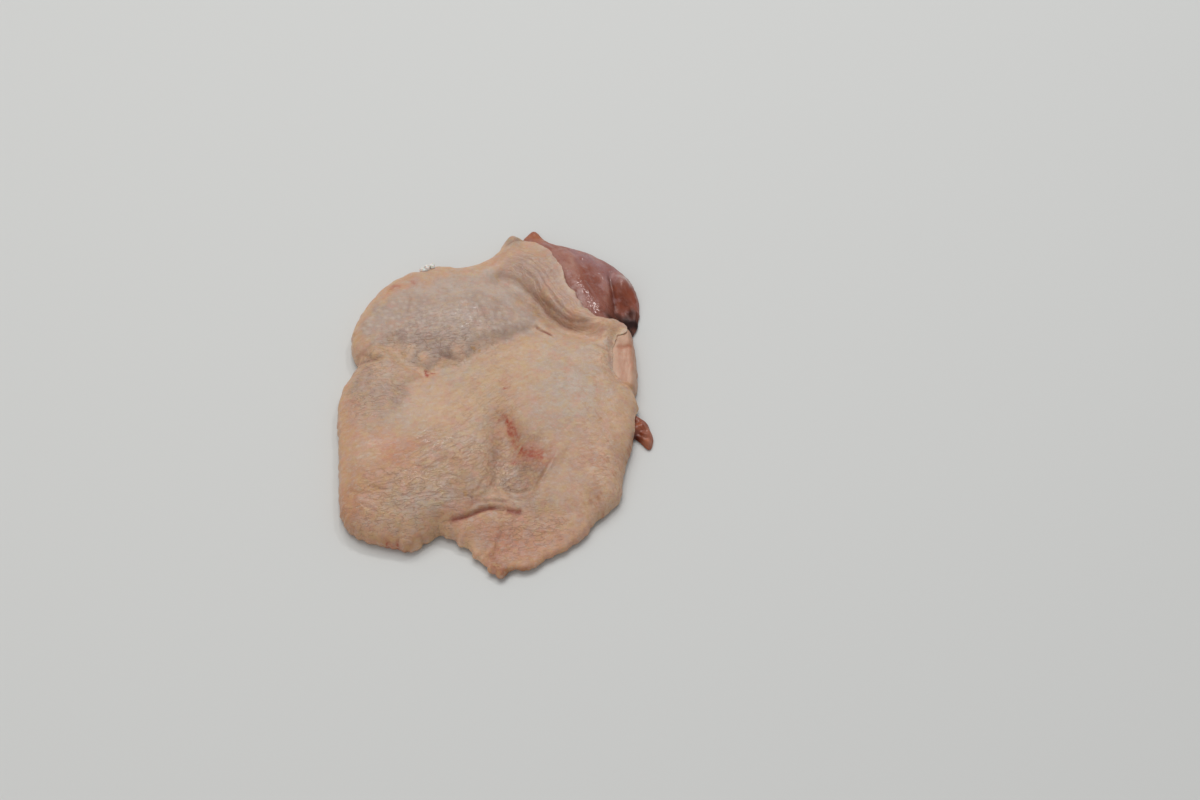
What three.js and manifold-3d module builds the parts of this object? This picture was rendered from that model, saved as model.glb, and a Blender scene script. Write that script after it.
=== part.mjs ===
// A raw, boned chicken thigh steak with its skin on, lying skin side up.
//
// Four solids lie in one another as they do on the real cut: the thigh meat, a strip of bare fat and a
// small tab of meat at the right-hand edge, and the skin that drapes over all three. The skin is cut
// short over one muscle, which lies bare at the back right corner.
//
// Units are millimetres. +Z is up and +Y runs away from the viewer. Everything rests on z = 0.

import * as THREE from 'three';
import Module from 'manifold-3d';

const wasm = await Module();
wasm.setup();

// ---- Driving dimensions ----

const BODY_HEIGHT = 9.0;         // the slab before its muscles swell it and its folds cut it
const SKIN_THICKNESS = 2.0;      // skin with the fat that clings to it
const SKIN_THINNEST = 1.5;       // least that is left of it over an edge of what lies under it
const PIECE_GAP = 0.4;           // free space kept between neighbouring solids
const EDGE_TUCK = 1.6;           // how far the foot of an edge draws in under it
const MEAT_INSET = 5.0;          // how far the meat stays inside the skin's edge
const MEAT_SHOULDER = 9.0;       // distance over which the meat rises from its edge
const MEAT_WALL = 0.25;          // share of its height that stands upright at the edge
const SCRAP_WALL = 0.3;          // the same for the two scraps
const FLAP_MEAT = 1.6;           // least height of meat where it runs out under the front flap
const MEAT_EASE = 1.35;          // how much less closely the meat follows the folds than the skin does
const STEAK_HUB = { x: -2, y: 4 };   // where the rings of facets of skin and meat start from

// Facets round and across each solid.
const SKIN_SECTORS = 130;
const SKIN_RINGS = 15;
const MEAT_SECTORS = 90;
const MEAT_RINGS = 12;
const SCRAP_SECTORS = 20;
const SCRAP_RINGS = 4;
const RING_CROWDING = 0.72;      // below 1, rings crowd together towards the edge
const EASING = 0.06;             // share of the way round over which inner rings ease the edge's corners
const RING_EASE = 4;             // how late a ring takes up the true corners

// The edge of the skin, anticlockwise from the front tip, stretch by stretch.
// Each station is [x, y, height of the edge, width of the shoulder that rises from it].
const FRONT_FLAP = [   // thin, without meat under it
  [7.5, -89.5, 2.6, 14], [10.5, -86, 2.8, 14], [18, -85.5, 3.0, 15], [26, -80, 3.0, 15],
  [34, -74.5, 3.2, 14], [40, -70, 3.2, 13], [44, -63.5, 3.2, 13], [51, -56, 3.4, 12],
];
const RIGHT_SIDE = [
  [54.5, -50, 3.6, 12], [55, -42, 3.8, 12], [57, -33, 4.0, 11], [59.5, -22, 4.0, 10],
  [60.5, -11, 4.0, 9], [61.8, -4, 4.0, 9],
];
const FAT_NOTCH = [   // cut back beside the strip of fat
  [59, 4, 4.2, 8], [53, 8, 7.0, 6], [51.2, 13, 8.6, 5], [51.2, 24, 8.6, 5],
  [53.4, 30.6, 8.6, 5], [57, 32.8, 7.5, 6],
];
const MUSCLE_LINE = [   // cut back over the bare muscle
  [57, 38, 7.5, 7], [53, 40, 8.5, 6], [46, 38.5, 11.0, 6], [40, 42, 12.5, 6], [35.5, 50, 13.5, 6],
  [31.5, 57, 14.0, 6], [29, 66, 14.0, 6], [25, 75, 13.0, 7], [20, 84, 9.0, 9],
];
const BACK_CORNER = [   // stands up behind the steak
  [13, 89, 5.0, 10], [9, 93, 5.0, 9], [5.5, 94.5, 5.5, 8], [3, 89.5, 5.0, 9],
];
const BACK_EDGE = [
  [-1, 82, 4.0, 10], [-8, 76.5, 4.0, 10], [-17, 73.5, 4.0, 9], [-26, 74.2, 4.0, 8],
  [-33, 71.5, 4.0, 8], [-40.5, 69, 4.0, 8], [-47, 64, 4.0, 8], [-52, 58.5, 4.0, 8],
];
const LEFT_SIDE = [   // pinched in at half its length, where two muscles meet
  [-57.5, 48, 4.2, 8], [-61, 38.5, 4.4, 8], [-61.6, 29.5, 4.4, 8], [-59.5, 22, 4.0, 8],
  [-57.6, 17, 3.6, 8], [-60.2, 10.5, 4.2, 9], [-63.6, 1, 4.6, 10], [-63.8, -11, 4.6, 10],
  [-62.4, -24, 4.4, 10], [-60.8, -38, 4.4, 10], [-59.8, -51, 4.2, 10], [-57.6, -61.5, 4.2, 10],
];
const FRONT_LOBE = [
  [-53, -69, 4.2, 10], [-45, -72.8, 4.2, 10], [-38, -74.2, 4.0, 10], [-30, -76.8, 3.8, 10],
  [-24, -73, 3.6, 9], [-18, -68.8, 3.0, 8],
];
const FLAP_SIDE = [[-13, -71, 2.8, 9], [-5, -74.2, 2.8, 11], [-1, -80, 2.8, 12], [3, -86, 2.6, 13]];
const SKIN_EDGE = [
  ...FRONT_FLAP, ...RIGHT_SIDE, ...FAT_NOTCH, ...MUSCLE_LINE, ...BACK_CORNER,
  ...BACK_EDGE, ...LEFT_SIDE, ...FRONT_LOBE, ...FLAP_SIDE,
];

// The edge of the meat, [x, y], where it doesn't follow the skin's.
const FLAP_ROOT = [[-4, -60], [8, -57], [20, -60], [32, -62], [42, -57]];
const MEAT_BY_FAT = [[52, 4], [47, 12], [47, 24], [53, 31.5]];
const BARE_MUSCLE = [
  [60.2, 37.5], [62.8, 48], [62.5, 59], [58.5, 69], [52, 77], [43.5, 83.5], [34, 87.6], [26, 90],
];
const MEAT_TIP = [[21.5, 93], [18.5, 97.5], [15.5, 100], [12, 96.5], [8.5, 88]];

// What shows beside the skin at the right-hand edge, [x, y], each with its height.
const FAT_STRIP = {
  edge: [[54, 4], [60.6, 3], [61.6, 12], [61.2, 22], [60.4, 30], [59, 36.5], [53, 37.6], [49, 29], [49, 9]],
  height: 7.2,
  shoulder: 4,
};
const MEAT_TAB = {
  edge: [[57, -19], [61, -19.5], [64.2, -22.5], [66.6, -24.6], [67.8, -20.5], [66.8, -15], [64, -10], [57, -7]],
  height: 3.6,
  shoulder: 4,
};

// Swellings of the top: centre, half widths, turn in degrees, rise.
const MOUNDS = [
  { x: -18, y: 38, across: 33, along: 25, turn: -12, rise: 6.8 },   // large muscle at the back left
  { x: -47, y: 0, across: 12, along: 17, turn: 6, rise: 3.2 },      // small muscle at the left-hand edge
  { x: 30, y: -2, across: 27, along: 30, turn: -20, rise: 3.8 },    // middle of the steak
  { x: -30, y: -46, across: 27, along: 24, turn: 0, rise: 4.4 },    // front left lobe
  { x: 42, y: -36, across: 16, along: 24, turn: 8, rise: 1.6 },     // right-hand panel
  { x: 12, y: -80, across: 36, along: 15, turn: 12, rise: -4.6 },   // front flap, which is skin alone
  { x: 37, y: 58, across: 9, along: 24, turn: 24, rise: 5.6 },      // the bare muscle
  { x: 56, y: 63, across: 5, along: 7, turn: 35, rise: 2.6 },       // the strip of muscle beside it
  { x: 57, y: 48, across: 4.5, along: 8, turn: 10, rise: -5.0 },    // hollow in front of that strip
  { x: 14, y: 96, across: 7, along: 6, turn: 0, rise: -3.5 },       // tip of meat behind the skin
];

// Folds of the top: the line that each one follows, its rise (below 0 for a furrow) and half width.
const FOLDS = [
  { line: [[6, 78], [15, 72], [22, 61], [27, 50], [34, 41], [44, 35]], rise: 3.0, width: 6.0 },
  { line: [[2, 63], [11, 58], [18, 48], [25, 39], [33, 32.5], [43, 30]], rise: -3.4, width: 4.2 },
  { line: [[-44, 24], [-37, 13], [-29, 9], [-16, 12], [-5, 19], [6, 26], [17, 32]], rise: -1.8, width: 4.0 },
  { line: [[-50, 20], [-42, 14], [-34, 8]], rise: 1.2, width: 3.5 },
  { line: [[5, -18], [7, -34], [8, -49]], rise: -2.6, width: 7.0 },
  { line: [[29, -32], [25, -44], [21, -56]], rise: 1.0, width: 4.0 },
  { line: [[-17, -67], [-9, -66], [-2, -62], [4, -60.5], [13, -62]], rise: -2.6, width: 3.6 },
  { line: [[51, 68], [52, 58], [52, 44]], rise: -2.2, width: 1.8 },
];

// ---- Edges and distances ----

// A stretch of the skin's edge, drawn in to where the meat ends under it.
function drawnIn(stretch) {
  return stretch.map((station) => {
    const i = SKIN_EDGE.indexOf(station);
    const before = SKIN_EDGE.at(i - 1);
    const after = SKIN_EDGE[(i + 1) % SKIN_EDGE.length];
    const inward = new THREE.Vector2(before[1] - after[1], after[0] - before[0]).setLength(MEAT_INSET);
    return [station[0] + inward.x, station[1] + inward.y];
  });
}

// A closed smooth curve through stations. Each sample carries its place, the way out of the outline
// there, its place on an eased outline for the rings inside, and the stations' other numbers.
function smoothEdge(stations, samples) {
  const curveOf = (pick) => new THREE.CatmullRomCurve3(stations.map(pick), true, 'catmullrom', 0.5);
  const plan = curveOf((s) => new THREE.Vector3(s[0], s[1], 0));
  const profile = curveOf((s) => new THREE.Vector3(s[2] ?? 0, s[3] ?? 0, 0));
  const places = Array.from({ length: samples }, (_, i) => plan.getPoint(i / samples));
  const reach = Math.round(samples * EASING);
  return places.map(({ x, y }, i) => {
    const before = places[(i + samples - 1) % samples];
    const after = places[(i + 1) % samples];
    const out = new THREE.Vector2(after.y - before.y, before.x - after.x).normalize();
    const rim = profile.getPoint(i / samples);
    const eased = new THREE.Vector2();
    for (let k = -reach; k <= reach; k++) eased.add(places[(i + k + samples) % samples]);
    eased.divideScalar(2 * reach + 1);
    return { x, y, out, eased, edge: rim.x, shoulder: rim.y };
  });
}

// Distance from a point to a polyline, with the nearest stretch and the share along it.
// Inside a closed line the distance is positive, outside it is negative.
function nearest(x, y, line, closed) {
  let best = { distance: Infinity, index: 0, share: 0 };
  let inside = false;
  const last = closed ? line.length : line.length - 1;
  for (let i = 0; i < last; i++) {
    const a = line[i];
    const b = line[(i + 1) % line.length];
    const dx = b.x - a.x;
    const dy = b.y - a.y;
    const along = ((x - a.x) * dx + (y - a.y) * dy) / (dx * dx + dy * dy);
    const share = Math.min(1, Math.max(0, along));
    const distance = Math.hypot(x - a.x - share * dx, y - a.y - share * dy);
    if (distance < best.distance) best = { distance, index: i, share };
    if (a.y > y !== b.y > y && x < a.x + (dx * (y - a.y)) / dy) inside = !inside;
  }
  if (closed && !inside) best.distance = -best.distance;
  return best;
}

const MEAT_EDGE = [
  ...FLAP_ROOT, ...drawnIn(RIGHT_SIDE), ...MEAT_BY_FAT, ...BARE_MUSCLE, ...MEAT_TIP,
  ...drawnIn(BACK_EDGE), ...drawnIn(LEFT_SIDE), ...drawnIn(FRONT_LOBE),
];
const skinEdge = smoothEdge(SKIN_EDGE, SKIN_SECTORS);
const meatEdge = smoothEdge(MEAT_EDGE, MEAT_SECTORS);
const foldLines = FOLDS.map((fold) => ({ ...fold, points: fold.line.map(([x, y]) => ({ x, y })) }));

// ---- Heights ----

// How far a quarter-round shoulder has risen at a share of its width, from 0 to 1.
function shoulder(share) {
  const left = 1 - Math.min(1, Math.max(0, share));
  return Math.sqrt(1 - left * left);
}

// Height that the top of the steak has far from any edge. Deeper layers follow a fold less closely:
// ease widens its furrows and narrows its ridges.
function relief(x, y, ease = 1) {
  let height = BODY_HEIGHT;
  for (const mound of MOUNDS) {
    const turn = THREE.MathUtils.degToRad(mound.turn);
    const dx = x - mound.x;
    const dy = y - mound.y;
    const u = (dx * Math.cos(turn) + dy * Math.sin(turn)) / mound.across;
    const v = (dy * Math.cos(turn) - dx * Math.sin(turn)) / mound.along;
    height += mound.rise * Math.exp(-(u * u + v * v));
  }
  for (const fold of foldLines) {
    const { distance } = nearest(x, y, fold.points, false);
    const width = fold.rise < 0 ? fold.width * ease : fold.width / ease;
    height += fold.rise * Math.exp(-((distance / width) ** 2));
  }
  return height;
}

// A top that starts from a foot wall and rises over a shoulder; nothing outside the edge.
function domed(edge, full, width, wall) {
  return (x, y) => {
    const { distance } = nearest(x, y, edge, true);
    if (distance < -EDGE_TUCK) return 0;
    return full(x, y) * (wall + (1 - wall) * shoulder(distance / width));
  };
}

const meatFull = (x, y) => Math.max(FLAP_MEAT, relief(x, y, MEAT_EASE) - SKIN_THICKNESS - PIECE_GAP);
const meatTop = domed(meatEdge, meatFull, MEAT_SHOULDER, MEAT_WALL);

const scraps = [FAT_STRIP, MEAT_TAB].map(({ edge: stations, height, shoulder: width }) => {
  const edge = smoothEdge(stations, SCRAP_SECTORS);
  const hub = {
    x: edge.reduce((sum, p) => sum + p.x, 0) / edge.length,
    y: edge.reduce((sum, p) => sum + p.y, 0) / edge.length,
  };
  return { edge, hub, top: domed(edge, () => height, width, SCRAP_WALL) };
});

function skinTop(x, y) {
  const { distance, index, share } = nearest(x, y, skinEdge, true);
  const a = skinEdge[index];
  const b = skinEdge[(index + 1) % skinEdge.length];
  const edge = THREE.MathUtils.lerp(a.edge, b.edge, share);
  const width = THREE.MathUtils.lerp(a.shoulder, b.shoulder, share);
  const free = edge + (relief(x, y) - edge) * shoulder(distance / width);
  const under = Math.max(meatTop(x, y), ...scraps.map((scrap) => scrap.top(x, y)));
  return Math.max(free, under + PIECE_GAP + SKIN_THINNEST);
}

// ---- Solids ----

// A body with a flat foot: rings of points run from a hub out to the edge and rise to top(x, y).
// grow swells it on every side; its foot then goes below the floor by as much.
function slab({ edge, hub, rings, top }, grow = 0) {
  const count = edge.length;
  const positions = [hub.x, hub.y, top(hub.x, hub.y) + grow];
  for (let r = 1; r <= rings; r++) {
    const share = (r / rings) ** RING_CROWDING;
    const trueness = share ** RING_EASE;
    const reach = r === rings ? grow : 0;
    for (const at of edge) {
      const x = THREE.MathUtils.lerp(hub.x, THREE.MathUtils.lerp(at.eased.x, at.x, trueness), share);
      const y = THREE.MathUtils.lerp(hub.y, THREE.MathUtils.lerp(at.eased.y, at.y, trueness), share);
      positions.push(x + at.out.x * reach, y + at.out.y * reach, top(x, y) + grow);
    }
  }
  // the foot is the edge again, drawn in by the tuck
  for (const at of edge) {
    const reach = grow - EDGE_TUCK;
    positions.push(at.x + at.out.x * reach, at.y + at.out.y * reach, -grow);
  }
  positions.push(hub.x, hub.y, -grow);

  const hubTop = 0;
  const hubFoot = positions.length / 3 - 1;
  const on = (r, i) => 1 + r * count + (i % count);
  const faces = [];
  for (let i = 0; i < count; i++) {
    faces.push(hubTop, on(0, i), on(0, i + 1));
    for (let r = 0; r < rings; r++) {
      const corners = [on(r, i), on(r + 1, i), on(r + 1, i + 1), on(r, i + 1)];
      const [a, b, c, d] = corners;
      // the diagonal that lies closer to the top it crosses
      const middle = [0, 1].map((k) => corners.reduce((sum, v) => sum + positions[v * 3 + k], 0) / 4);
      const height = top(...middle) + grow;
      const off = (v, w) => Math.abs(height - (positions[v * 3 + 2] + positions[w * 3 + 2]) / 2);
      if (r + 1 === rings || off(a, c) < off(b, d)) faces.push(a, b, c, a, c, d);
      else faces.push(a, b, d, b, c, d);
    }
    faces.push(hubFoot, on(rings, i + 1), on(rings, i));
  }
  return new wasm.Manifold(new wasm.Mesh({
    numProp: 3,
    vertProperties: new Float32Array(positions),
    triVerts: new Uint32Array(faces),
  }));
}

const shapes = {
  skin: { edge: skinEdge, hub: STEAK_HUB, rings: SKIN_RINGS, top: skinTop },
  meat: { edge: meatEdge, hub: STEAK_HUB, rings: MEAT_RINGS, top: meatTop },
  fat: { ...scraps[0], rings: SCRAP_RINGS },
  tab: { ...scraps[1], rings: SCRAP_RINGS },
};

// The space that a neighbour leaves free for a shape. The second slab fills sharp inner corners, where
// the first one's sides cross.
function roomFor(shape) {
  return slab(shape, PIECE_GAP).add(slab(shape).translate(0, 0, PIECE_GAP / 2));
}

// The meat makes room for the two scraps, and the skin for everything under it.
const fatStrip = slab(shapes.fat);
const meatTab = slab(shapes.tab);
const scrapRoom = roomFor(shapes.fat).add(roomFor(shapes.tab));
const meat = slab(shapes.meat).subtract(scrapRoom);
const skin = slab(shapes.skin).subtract(roomFor(shapes.meat)).subtract(scrapRoom);

// ---- Scene ----

function meshOf(name, solid, look) {
  const { vertProperties, triVerts } = solid.getMesh();
  const geometry = new THREE.BufferGeometry();
  geometry.setAttribute('position', new THREE.BufferAttribute(vertProperties, 3));
  geometry.setIndex(new THREE.BufferAttribute(triVerts, 1));
  geometry.computeVertexNormals();
  const mesh = new THREE.Mesh(geometry, new THREE.MeshStandardMaterial({ metalness: 0, ...look }));
  mesh.name = name;
  return mesh;
}

const steak = new THREE.Group();
steak.add(
  meshOf('thigh_meat', meat, { color: 0xb5837c, roughness: 0.35 }),
  meshOf('skin', skin, { color: 0xd9bda8, roughness: 0.55 }),
  meshOf('fat_strip', fatStrip, { color: 0xdca98c, roughness: 0.45 }),
  meshOf('meat_tab', meatTab, { color: 0xc97f6c, roughness: 0.4 }),
);

// The origin is under the middle of the steak's box.
const middle = new THREE.Box3().setFromObject(steak).getCenter(new THREE.Vector3());
steak.position.set(-middle.x, -middle.y, 0);

export default steak;
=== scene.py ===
# %% [markdown]
# # A raw chicken thigh steak, skin side up
#
# A chicken thigh is boned, opened flat and laid down on its cut side. What shows is the skin: a soft, cold,
# slightly wet sheet that drapes over the muscles, puckers where they meet and lets their lilac shine
# through where it is thin. One muscle lies bare at the back right corner, a strip of fat shows at the
# right-hand edge, and a little tab of meat pokes out below it.
#
# Every piece is drawn in millimetres on one drawing, the same one as the solid model's, and moved into its
# frame only when its mesh is made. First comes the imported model, which everything is fitted to.

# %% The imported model
import math

import bpy
import numpy as np
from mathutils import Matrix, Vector


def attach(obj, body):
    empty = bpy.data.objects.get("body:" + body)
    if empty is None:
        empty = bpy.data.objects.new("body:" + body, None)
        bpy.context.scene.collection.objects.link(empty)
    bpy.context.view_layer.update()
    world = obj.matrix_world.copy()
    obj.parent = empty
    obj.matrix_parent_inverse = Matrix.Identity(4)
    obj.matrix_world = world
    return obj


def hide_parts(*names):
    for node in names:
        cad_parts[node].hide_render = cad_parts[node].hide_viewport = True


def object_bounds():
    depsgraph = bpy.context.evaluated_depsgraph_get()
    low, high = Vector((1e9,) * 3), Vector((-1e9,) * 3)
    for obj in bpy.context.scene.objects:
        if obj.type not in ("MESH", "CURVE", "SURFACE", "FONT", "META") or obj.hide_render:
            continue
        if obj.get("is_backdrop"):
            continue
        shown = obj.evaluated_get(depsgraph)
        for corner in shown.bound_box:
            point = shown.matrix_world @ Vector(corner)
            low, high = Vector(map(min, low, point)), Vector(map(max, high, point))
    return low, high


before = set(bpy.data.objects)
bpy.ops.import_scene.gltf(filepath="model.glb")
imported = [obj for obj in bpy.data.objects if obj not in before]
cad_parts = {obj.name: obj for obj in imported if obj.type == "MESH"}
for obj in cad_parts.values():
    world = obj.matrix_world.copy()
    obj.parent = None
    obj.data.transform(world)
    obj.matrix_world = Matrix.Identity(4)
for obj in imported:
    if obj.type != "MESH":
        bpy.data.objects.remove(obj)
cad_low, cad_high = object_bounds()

MM = 0.001
FRAME_ORIGIN = (1.9, 5.132)        # where the frame's origin lies on the drawing
print("box of the solid model, mm:", [round(v / MM, 2) for v in (*cad_low, *cad_high)])


# %% [markdown]
# ## Camera, floor and light
#
# The steak is looked down on at about 51 degrees, from far enough that it takes up the middle third of the
# picture. A long lens keeps its outline from swelling. It lies on a plain pale floor in soft light: a wide
# lamp behind it on the left draws the soft shadows, two small ones behind it draw the glints that wet meat
# has, and a dim wide one in front and an even sky keep the folds from going black.

# %% Camera
LOOK_DOWN = 51.0
camera = bpy.data.objects.new("camera", bpy.data.cameras.new("camera"))
camera.data.sensor_width = 36.0
camera.data.lens = 55.2
camera.location = (0.0441, -0.49587, 0.60849)
camera.rotation_euler = (math.radians(90 - LOOK_DOWN), 0, 0)
bpy.context.scene.collection.objects.link(camera)
bpy.context.scene.camera = camera


# %% Node helpers
def add(tree, kind, inputs=None, **settings):
    """Adds a node, sets its options, and fills its inputs with values or with other nodes' outputs."""
    made = tree.nodes.new(kind)
    for name, value in settings.items():
        setattr(made, name, value)
    for key, value in (inputs or {}).items():
        if isinstance(value, bpy.types.NodeSocket):
            tree.links.new(value, made.inputs[key])
        else:
            made.inputs[key].default_value = value
    return made


def paint(red, green, blue, lost=0.0):
    """A colour as a screen shows it, 0 to 255, turned into the amounts of light that Blender mixes."""
    def amount(v):
        v = v / 255
        return (v / 12.92 if v <= 0.04045 else ((v + 0.055) / 1.055) ** 2.4) / (1 - lost)
    return (amount(red), amount(green), amount(blue), 1.0)


# %% Floor and light
floor_paint = bpy.data.materials.new("pale_floor")
floor_paint.use_nodes = True
tree = floor_paint.node_tree
floor_shader = tree.nodes["Principled BSDF"]
floor_speckle = add(tree, "ShaderNodeTexNoise", {"Scale": 9.0, "Detail": 2.0})
floor_tone = add(tree, "ShaderNodeMix", {0: floor_speckle.outputs[0]}, data_type="RGBA")
floor_tone.inputs[6].default_value = paint(206, 207, 206)
floor_tone.inputs[7].default_value = paint(210, 211, 209)
tree.links.new(floor_tone.outputs[2], floor_shader.inputs["Base Color"])
floor_shader.inputs["Roughness"].default_value = 0.6

FLOOR_HALF = 4.0
floor_mesh = bpy.data.meshes.new("floor")
corners = [(-1, -1), (1, -1), (1, 1), (-1, 1)]
floor_mesh.from_pydata([(x * FLOOR_HALF, y * FLOOR_HALF, 0) for x, y in corners], [], [(0, 1, 2, 3)])
floor_mesh.materials.append(floor_paint)
floor = bpy.data.objects.new("floor", floor_mesh)
bpy.context.scene.collection.objects.link(floor)
floor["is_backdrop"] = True


def lamp(name, place, size, power, tint):
    """A square soft lamp that faces the steak."""
    data = bpy.data.lights.new(name, "AREA")
    data.size = size
    data.energy = power
    data.color = tint
    made = bpy.data.objects.new(name, data)
    made.location = place
    made.rotation_euler = Vector(place).to_track_quat("Z", "Y").to_euler()
    bpy.context.scene.collection.objects.link(made)


lamp("window", (-0.50, 1.20, 2.20), 1.8, 27.8, (1.0, 0.985, 0.955))
lamp("far_pane", (0.10, 1.10, 1.25), 0.12, 2.2, (1.0, 1.0, 1.0))
lamp("side_pane", (0.58, 0.92, 1.25), 0.12, 3.0, (1.0, 1.0, 1.0))
lamp("near_wall", (-0.80, -1.30, 0.70), 1.6, 5.0, (1.0, 0.95, 0.88))
sky = bpy.data.worlds.new("soft_room")
sky.use_nodes = True
sky.node_tree.nodes["Background"].inputs["Color"].default_value = (0.97, 0.98, 1.0, 1)
sky.node_tree.nodes["Background"].inputs["Strength"].default_value = 0.39
bpy.context.scene.world = sky
bpy.context.scene.view_settings.view_transform = "Standard"
print("camera, floor, four lamps and the sky are in place")


# %% [markdown]
# ## The drawing
#
# The outlines of the four pieces are smooth closed curves through stations that a maker would mark round a
# real steak. At each station of the skin stand two more numbers: how high its edge stands and how wide the
# round shoulder is that rises from it. An edge that is folded under has a high edge and a narrow shoulder,
# and the thin flap at the front a low edge and a wide one.

# %% Edge of the skin
FRONT_FLAP = [
    (7.5, -89.5, 2.6, 14), (10.5, -86, 2.8, 14), (18, -85.5, 3.0, 15), (26, -80, 3.0, 15),
    (34, -74.5, 3.2, 14), (40, -70, 3.2, 13), (44, -63.5, 3.2, 13), (51, -56, 3.4, 12),
]
RIGHT_SIDE = [
    (54.5, -50, 3.6, 12), (55, -42, 3.8, 12), (57, -33, 4.0, 11), (59.5, -22, 4.0, 10),
    (60.5, -11, 4.0, 9), (61.8, -4, 4.0, 9),
]
FAT_NOTCH = [
    (59, 4, 4.2, 8), (53, 8, 6.6, 6), (51.2, 13, 7.6, 5), (51.2, 24, 7.6, 5),
    (53.4, 30.6, 7.8, 5), (57, 32.8, 7.3, 6),
]
MUSCLE_LINE = [
    (57, 38, 7.5, 7), (53, 40, 8.5, 6), (46, 38.5, 11.0, 6), (40, 42, 12.5, 6), (35.5, 50, 13.5, 6),
    (31.5, 57, 14.0, 6), (29, 66, 14.0, 6), (25, 75, 13.0, 7), (20, 84, 9.0, 9),
]
BACK_CORNER = [(13, 89, 5.0, 10), (9.5, 92.2, 5.0, 9), (5.6, 93.2, 5.5, 8), (2.8, 89, 5.0, 9)]
BACK_EDGE = [
    (-1, 82, 4.0, 10), (-8, 76.5, 4.0, 10), (-17, 73.5, 4.0, 9), (-26, 74.2, 4.0, 8),
    (-33, 71.5, 4.0, 8), (-40.5, 69, 4.0, 8), (-47, 64, 4.0, 8), (-52, 58.5, 4.0, 8),
]
LEFT_SIDE = [
    (-57.5, 48, 4.2, 8), (-61, 38.5, 4.4, 8), (-61.6, 29.5, 4.4, 8), (-59.5, 22, 4.0, 8),
    (-57.6, 17, 3.6, 8), (-60.2, 10.5, 4.2, 9), (-63.6, 1, 4.6, 10), (-63.8, -11, 4.6, 10),
    (-62.4, -24, 4.4, 10), (-60.8, -38, 4.4, 10), (-59.8, -51, 4.2, 10), (-57.6, -61.5, 4.2, 10),
]
FRONT_LOBE = [
    (-53, -69, 4.2, 10), (-45, -72.8, 4.2, 10), (-38, -74.2, 4.0, 10), (-30, -76.8, 3.8, 10),
    (-24, -73, 3.6, 9), (-18, -68.8, 3.0, 8),
]
FLAP_SIDE = [(-13, -71.5, 2.8, 9), (-6.4, -76, 2.8, 11), (-1.4, -81.5, 2.8, 12), (3, -87, 2.6, 13)]
SKIN_EDGE = (FRONT_FLAP + RIGHT_SIDE + FAT_NOTCH + MUSCLE_LINE + BACK_CORNER
             + BACK_EDGE + LEFT_SIDE + FRONT_LOBE + FLAP_SIDE)


# %% Edge of the meat and of the two scraps
MEAT_INSET = 5.0                   # how far the meat stays inside the skin's edge


def drawn_in(stretch):
    """A stretch of the skin's edge, drawn in to where the meat ends under it."""
    made = []
    for station in stretch:
        i = SKIN_EDGE.index(station)
        before, after = SKIN_EDGE[i - 1], SKIN_EDGE[(i + 1) % len(SKIN_EDGE)]
        inward = np.array([before[1] - after[1], after[0] - before[0]])
        made.append(tuple(np.array(station[:2]) + inward / np.hypot(*inward) * MEAT_INSET))
    return made


FLAP_ROOT = [(-4, -60), (8, -57), (20, -60), (32, -62), (42, -57)]
MEAT_BY_FAT = [(52, 4), (47, 12), (47, 24), (53, 31.5)]
BARE_MUSCLE = [
    (60.2, 37.5), (62.8, 48), (62.5, 59), (58.5, 69), (52, 77), (43.5, 83.5), (34, 87.6), (26, 90),
]
MEAT_TIP = [(21.5, 93), (18.5, 97.5), (15.5, 100), (12, 96.5), (8.5, 88)]
MEAT_EDGE = (FLAP_ROOT + drawn_in(RIGHT_SIDE) + MEAT_BY_FAT + BARE_MUSCLE + MEAT_TIP
             + drawn_in(BACK_EDGE) + drawn_in(LEFT_SIDE) + drawn_in(FRONT_LOBE))
FAT_STRIP_EDGE = [
    (54, 4), (60.6, 3), (61.6, 12), (61.2, 22), (60.4, 30), (59, 36.5), (53, 37.6), (49, 29), (49, 9),
]
MEAT_TAB_EDGE = [
    (57, -19), (61, -19.5), (64.2, -22.5), (66.6, -24.6), (67.8, -20.5), (66.8, -15), (64, -10), (57, -7),
]
print(len(SKIN_EDGE), "stations round the skin,", len(MEAT_EDGE), "round the meat")


# %% [markdown]
# Everything on the drawing is worked out for thousands of points at once, so the helpers take an array of
# points. A closed curve is sampled at even distances, and a line's distance tells how far a point lies from
# a fold, a crease or an edge, and on which side.

# %% Curves and distances
def smooth_loop(stations, count):
    """A closed smooth curve through stations, all of whose numbers run smoothly along it."""
    s = np.asarray(stations, float)
    t = np.arange(count) / count * len(s)
    i = t.astype(int)
    u = (t - i)[:, None]
    a, b, c, d = (s[(i + k) % len(s)] for k in (-1, 0, 1, 2))
    return 0.5 * (2 * b + (c - a) * u + (2 * a - 5 * b + 4 * c - d) * u**2 + (3 * b - a - 3 * c + d) * u**3)


def smooth_path(line, steps=6):
    """An open smooth curve through a few points."""
    s = np.asarray(line, float)
    s = np.vstack([2 * s[0] - s[1], s, 2 * s[-1] - s[-2]])
    made = []
    for i in range(1, len(s) - 2):
        u = (np.arange(steps) / steps)[:, None]
        a, b, c, d = s[i - 1:i + 3]
        made.append(0.5 * (2 * b + (c - a) * u + (2 * a - 5 * b + 4 * c - d) * u**2
                           + (3 * b - a - 3 * c + d) * u**3))
    return np.vstack([*made, s[-2:-1]])


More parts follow.
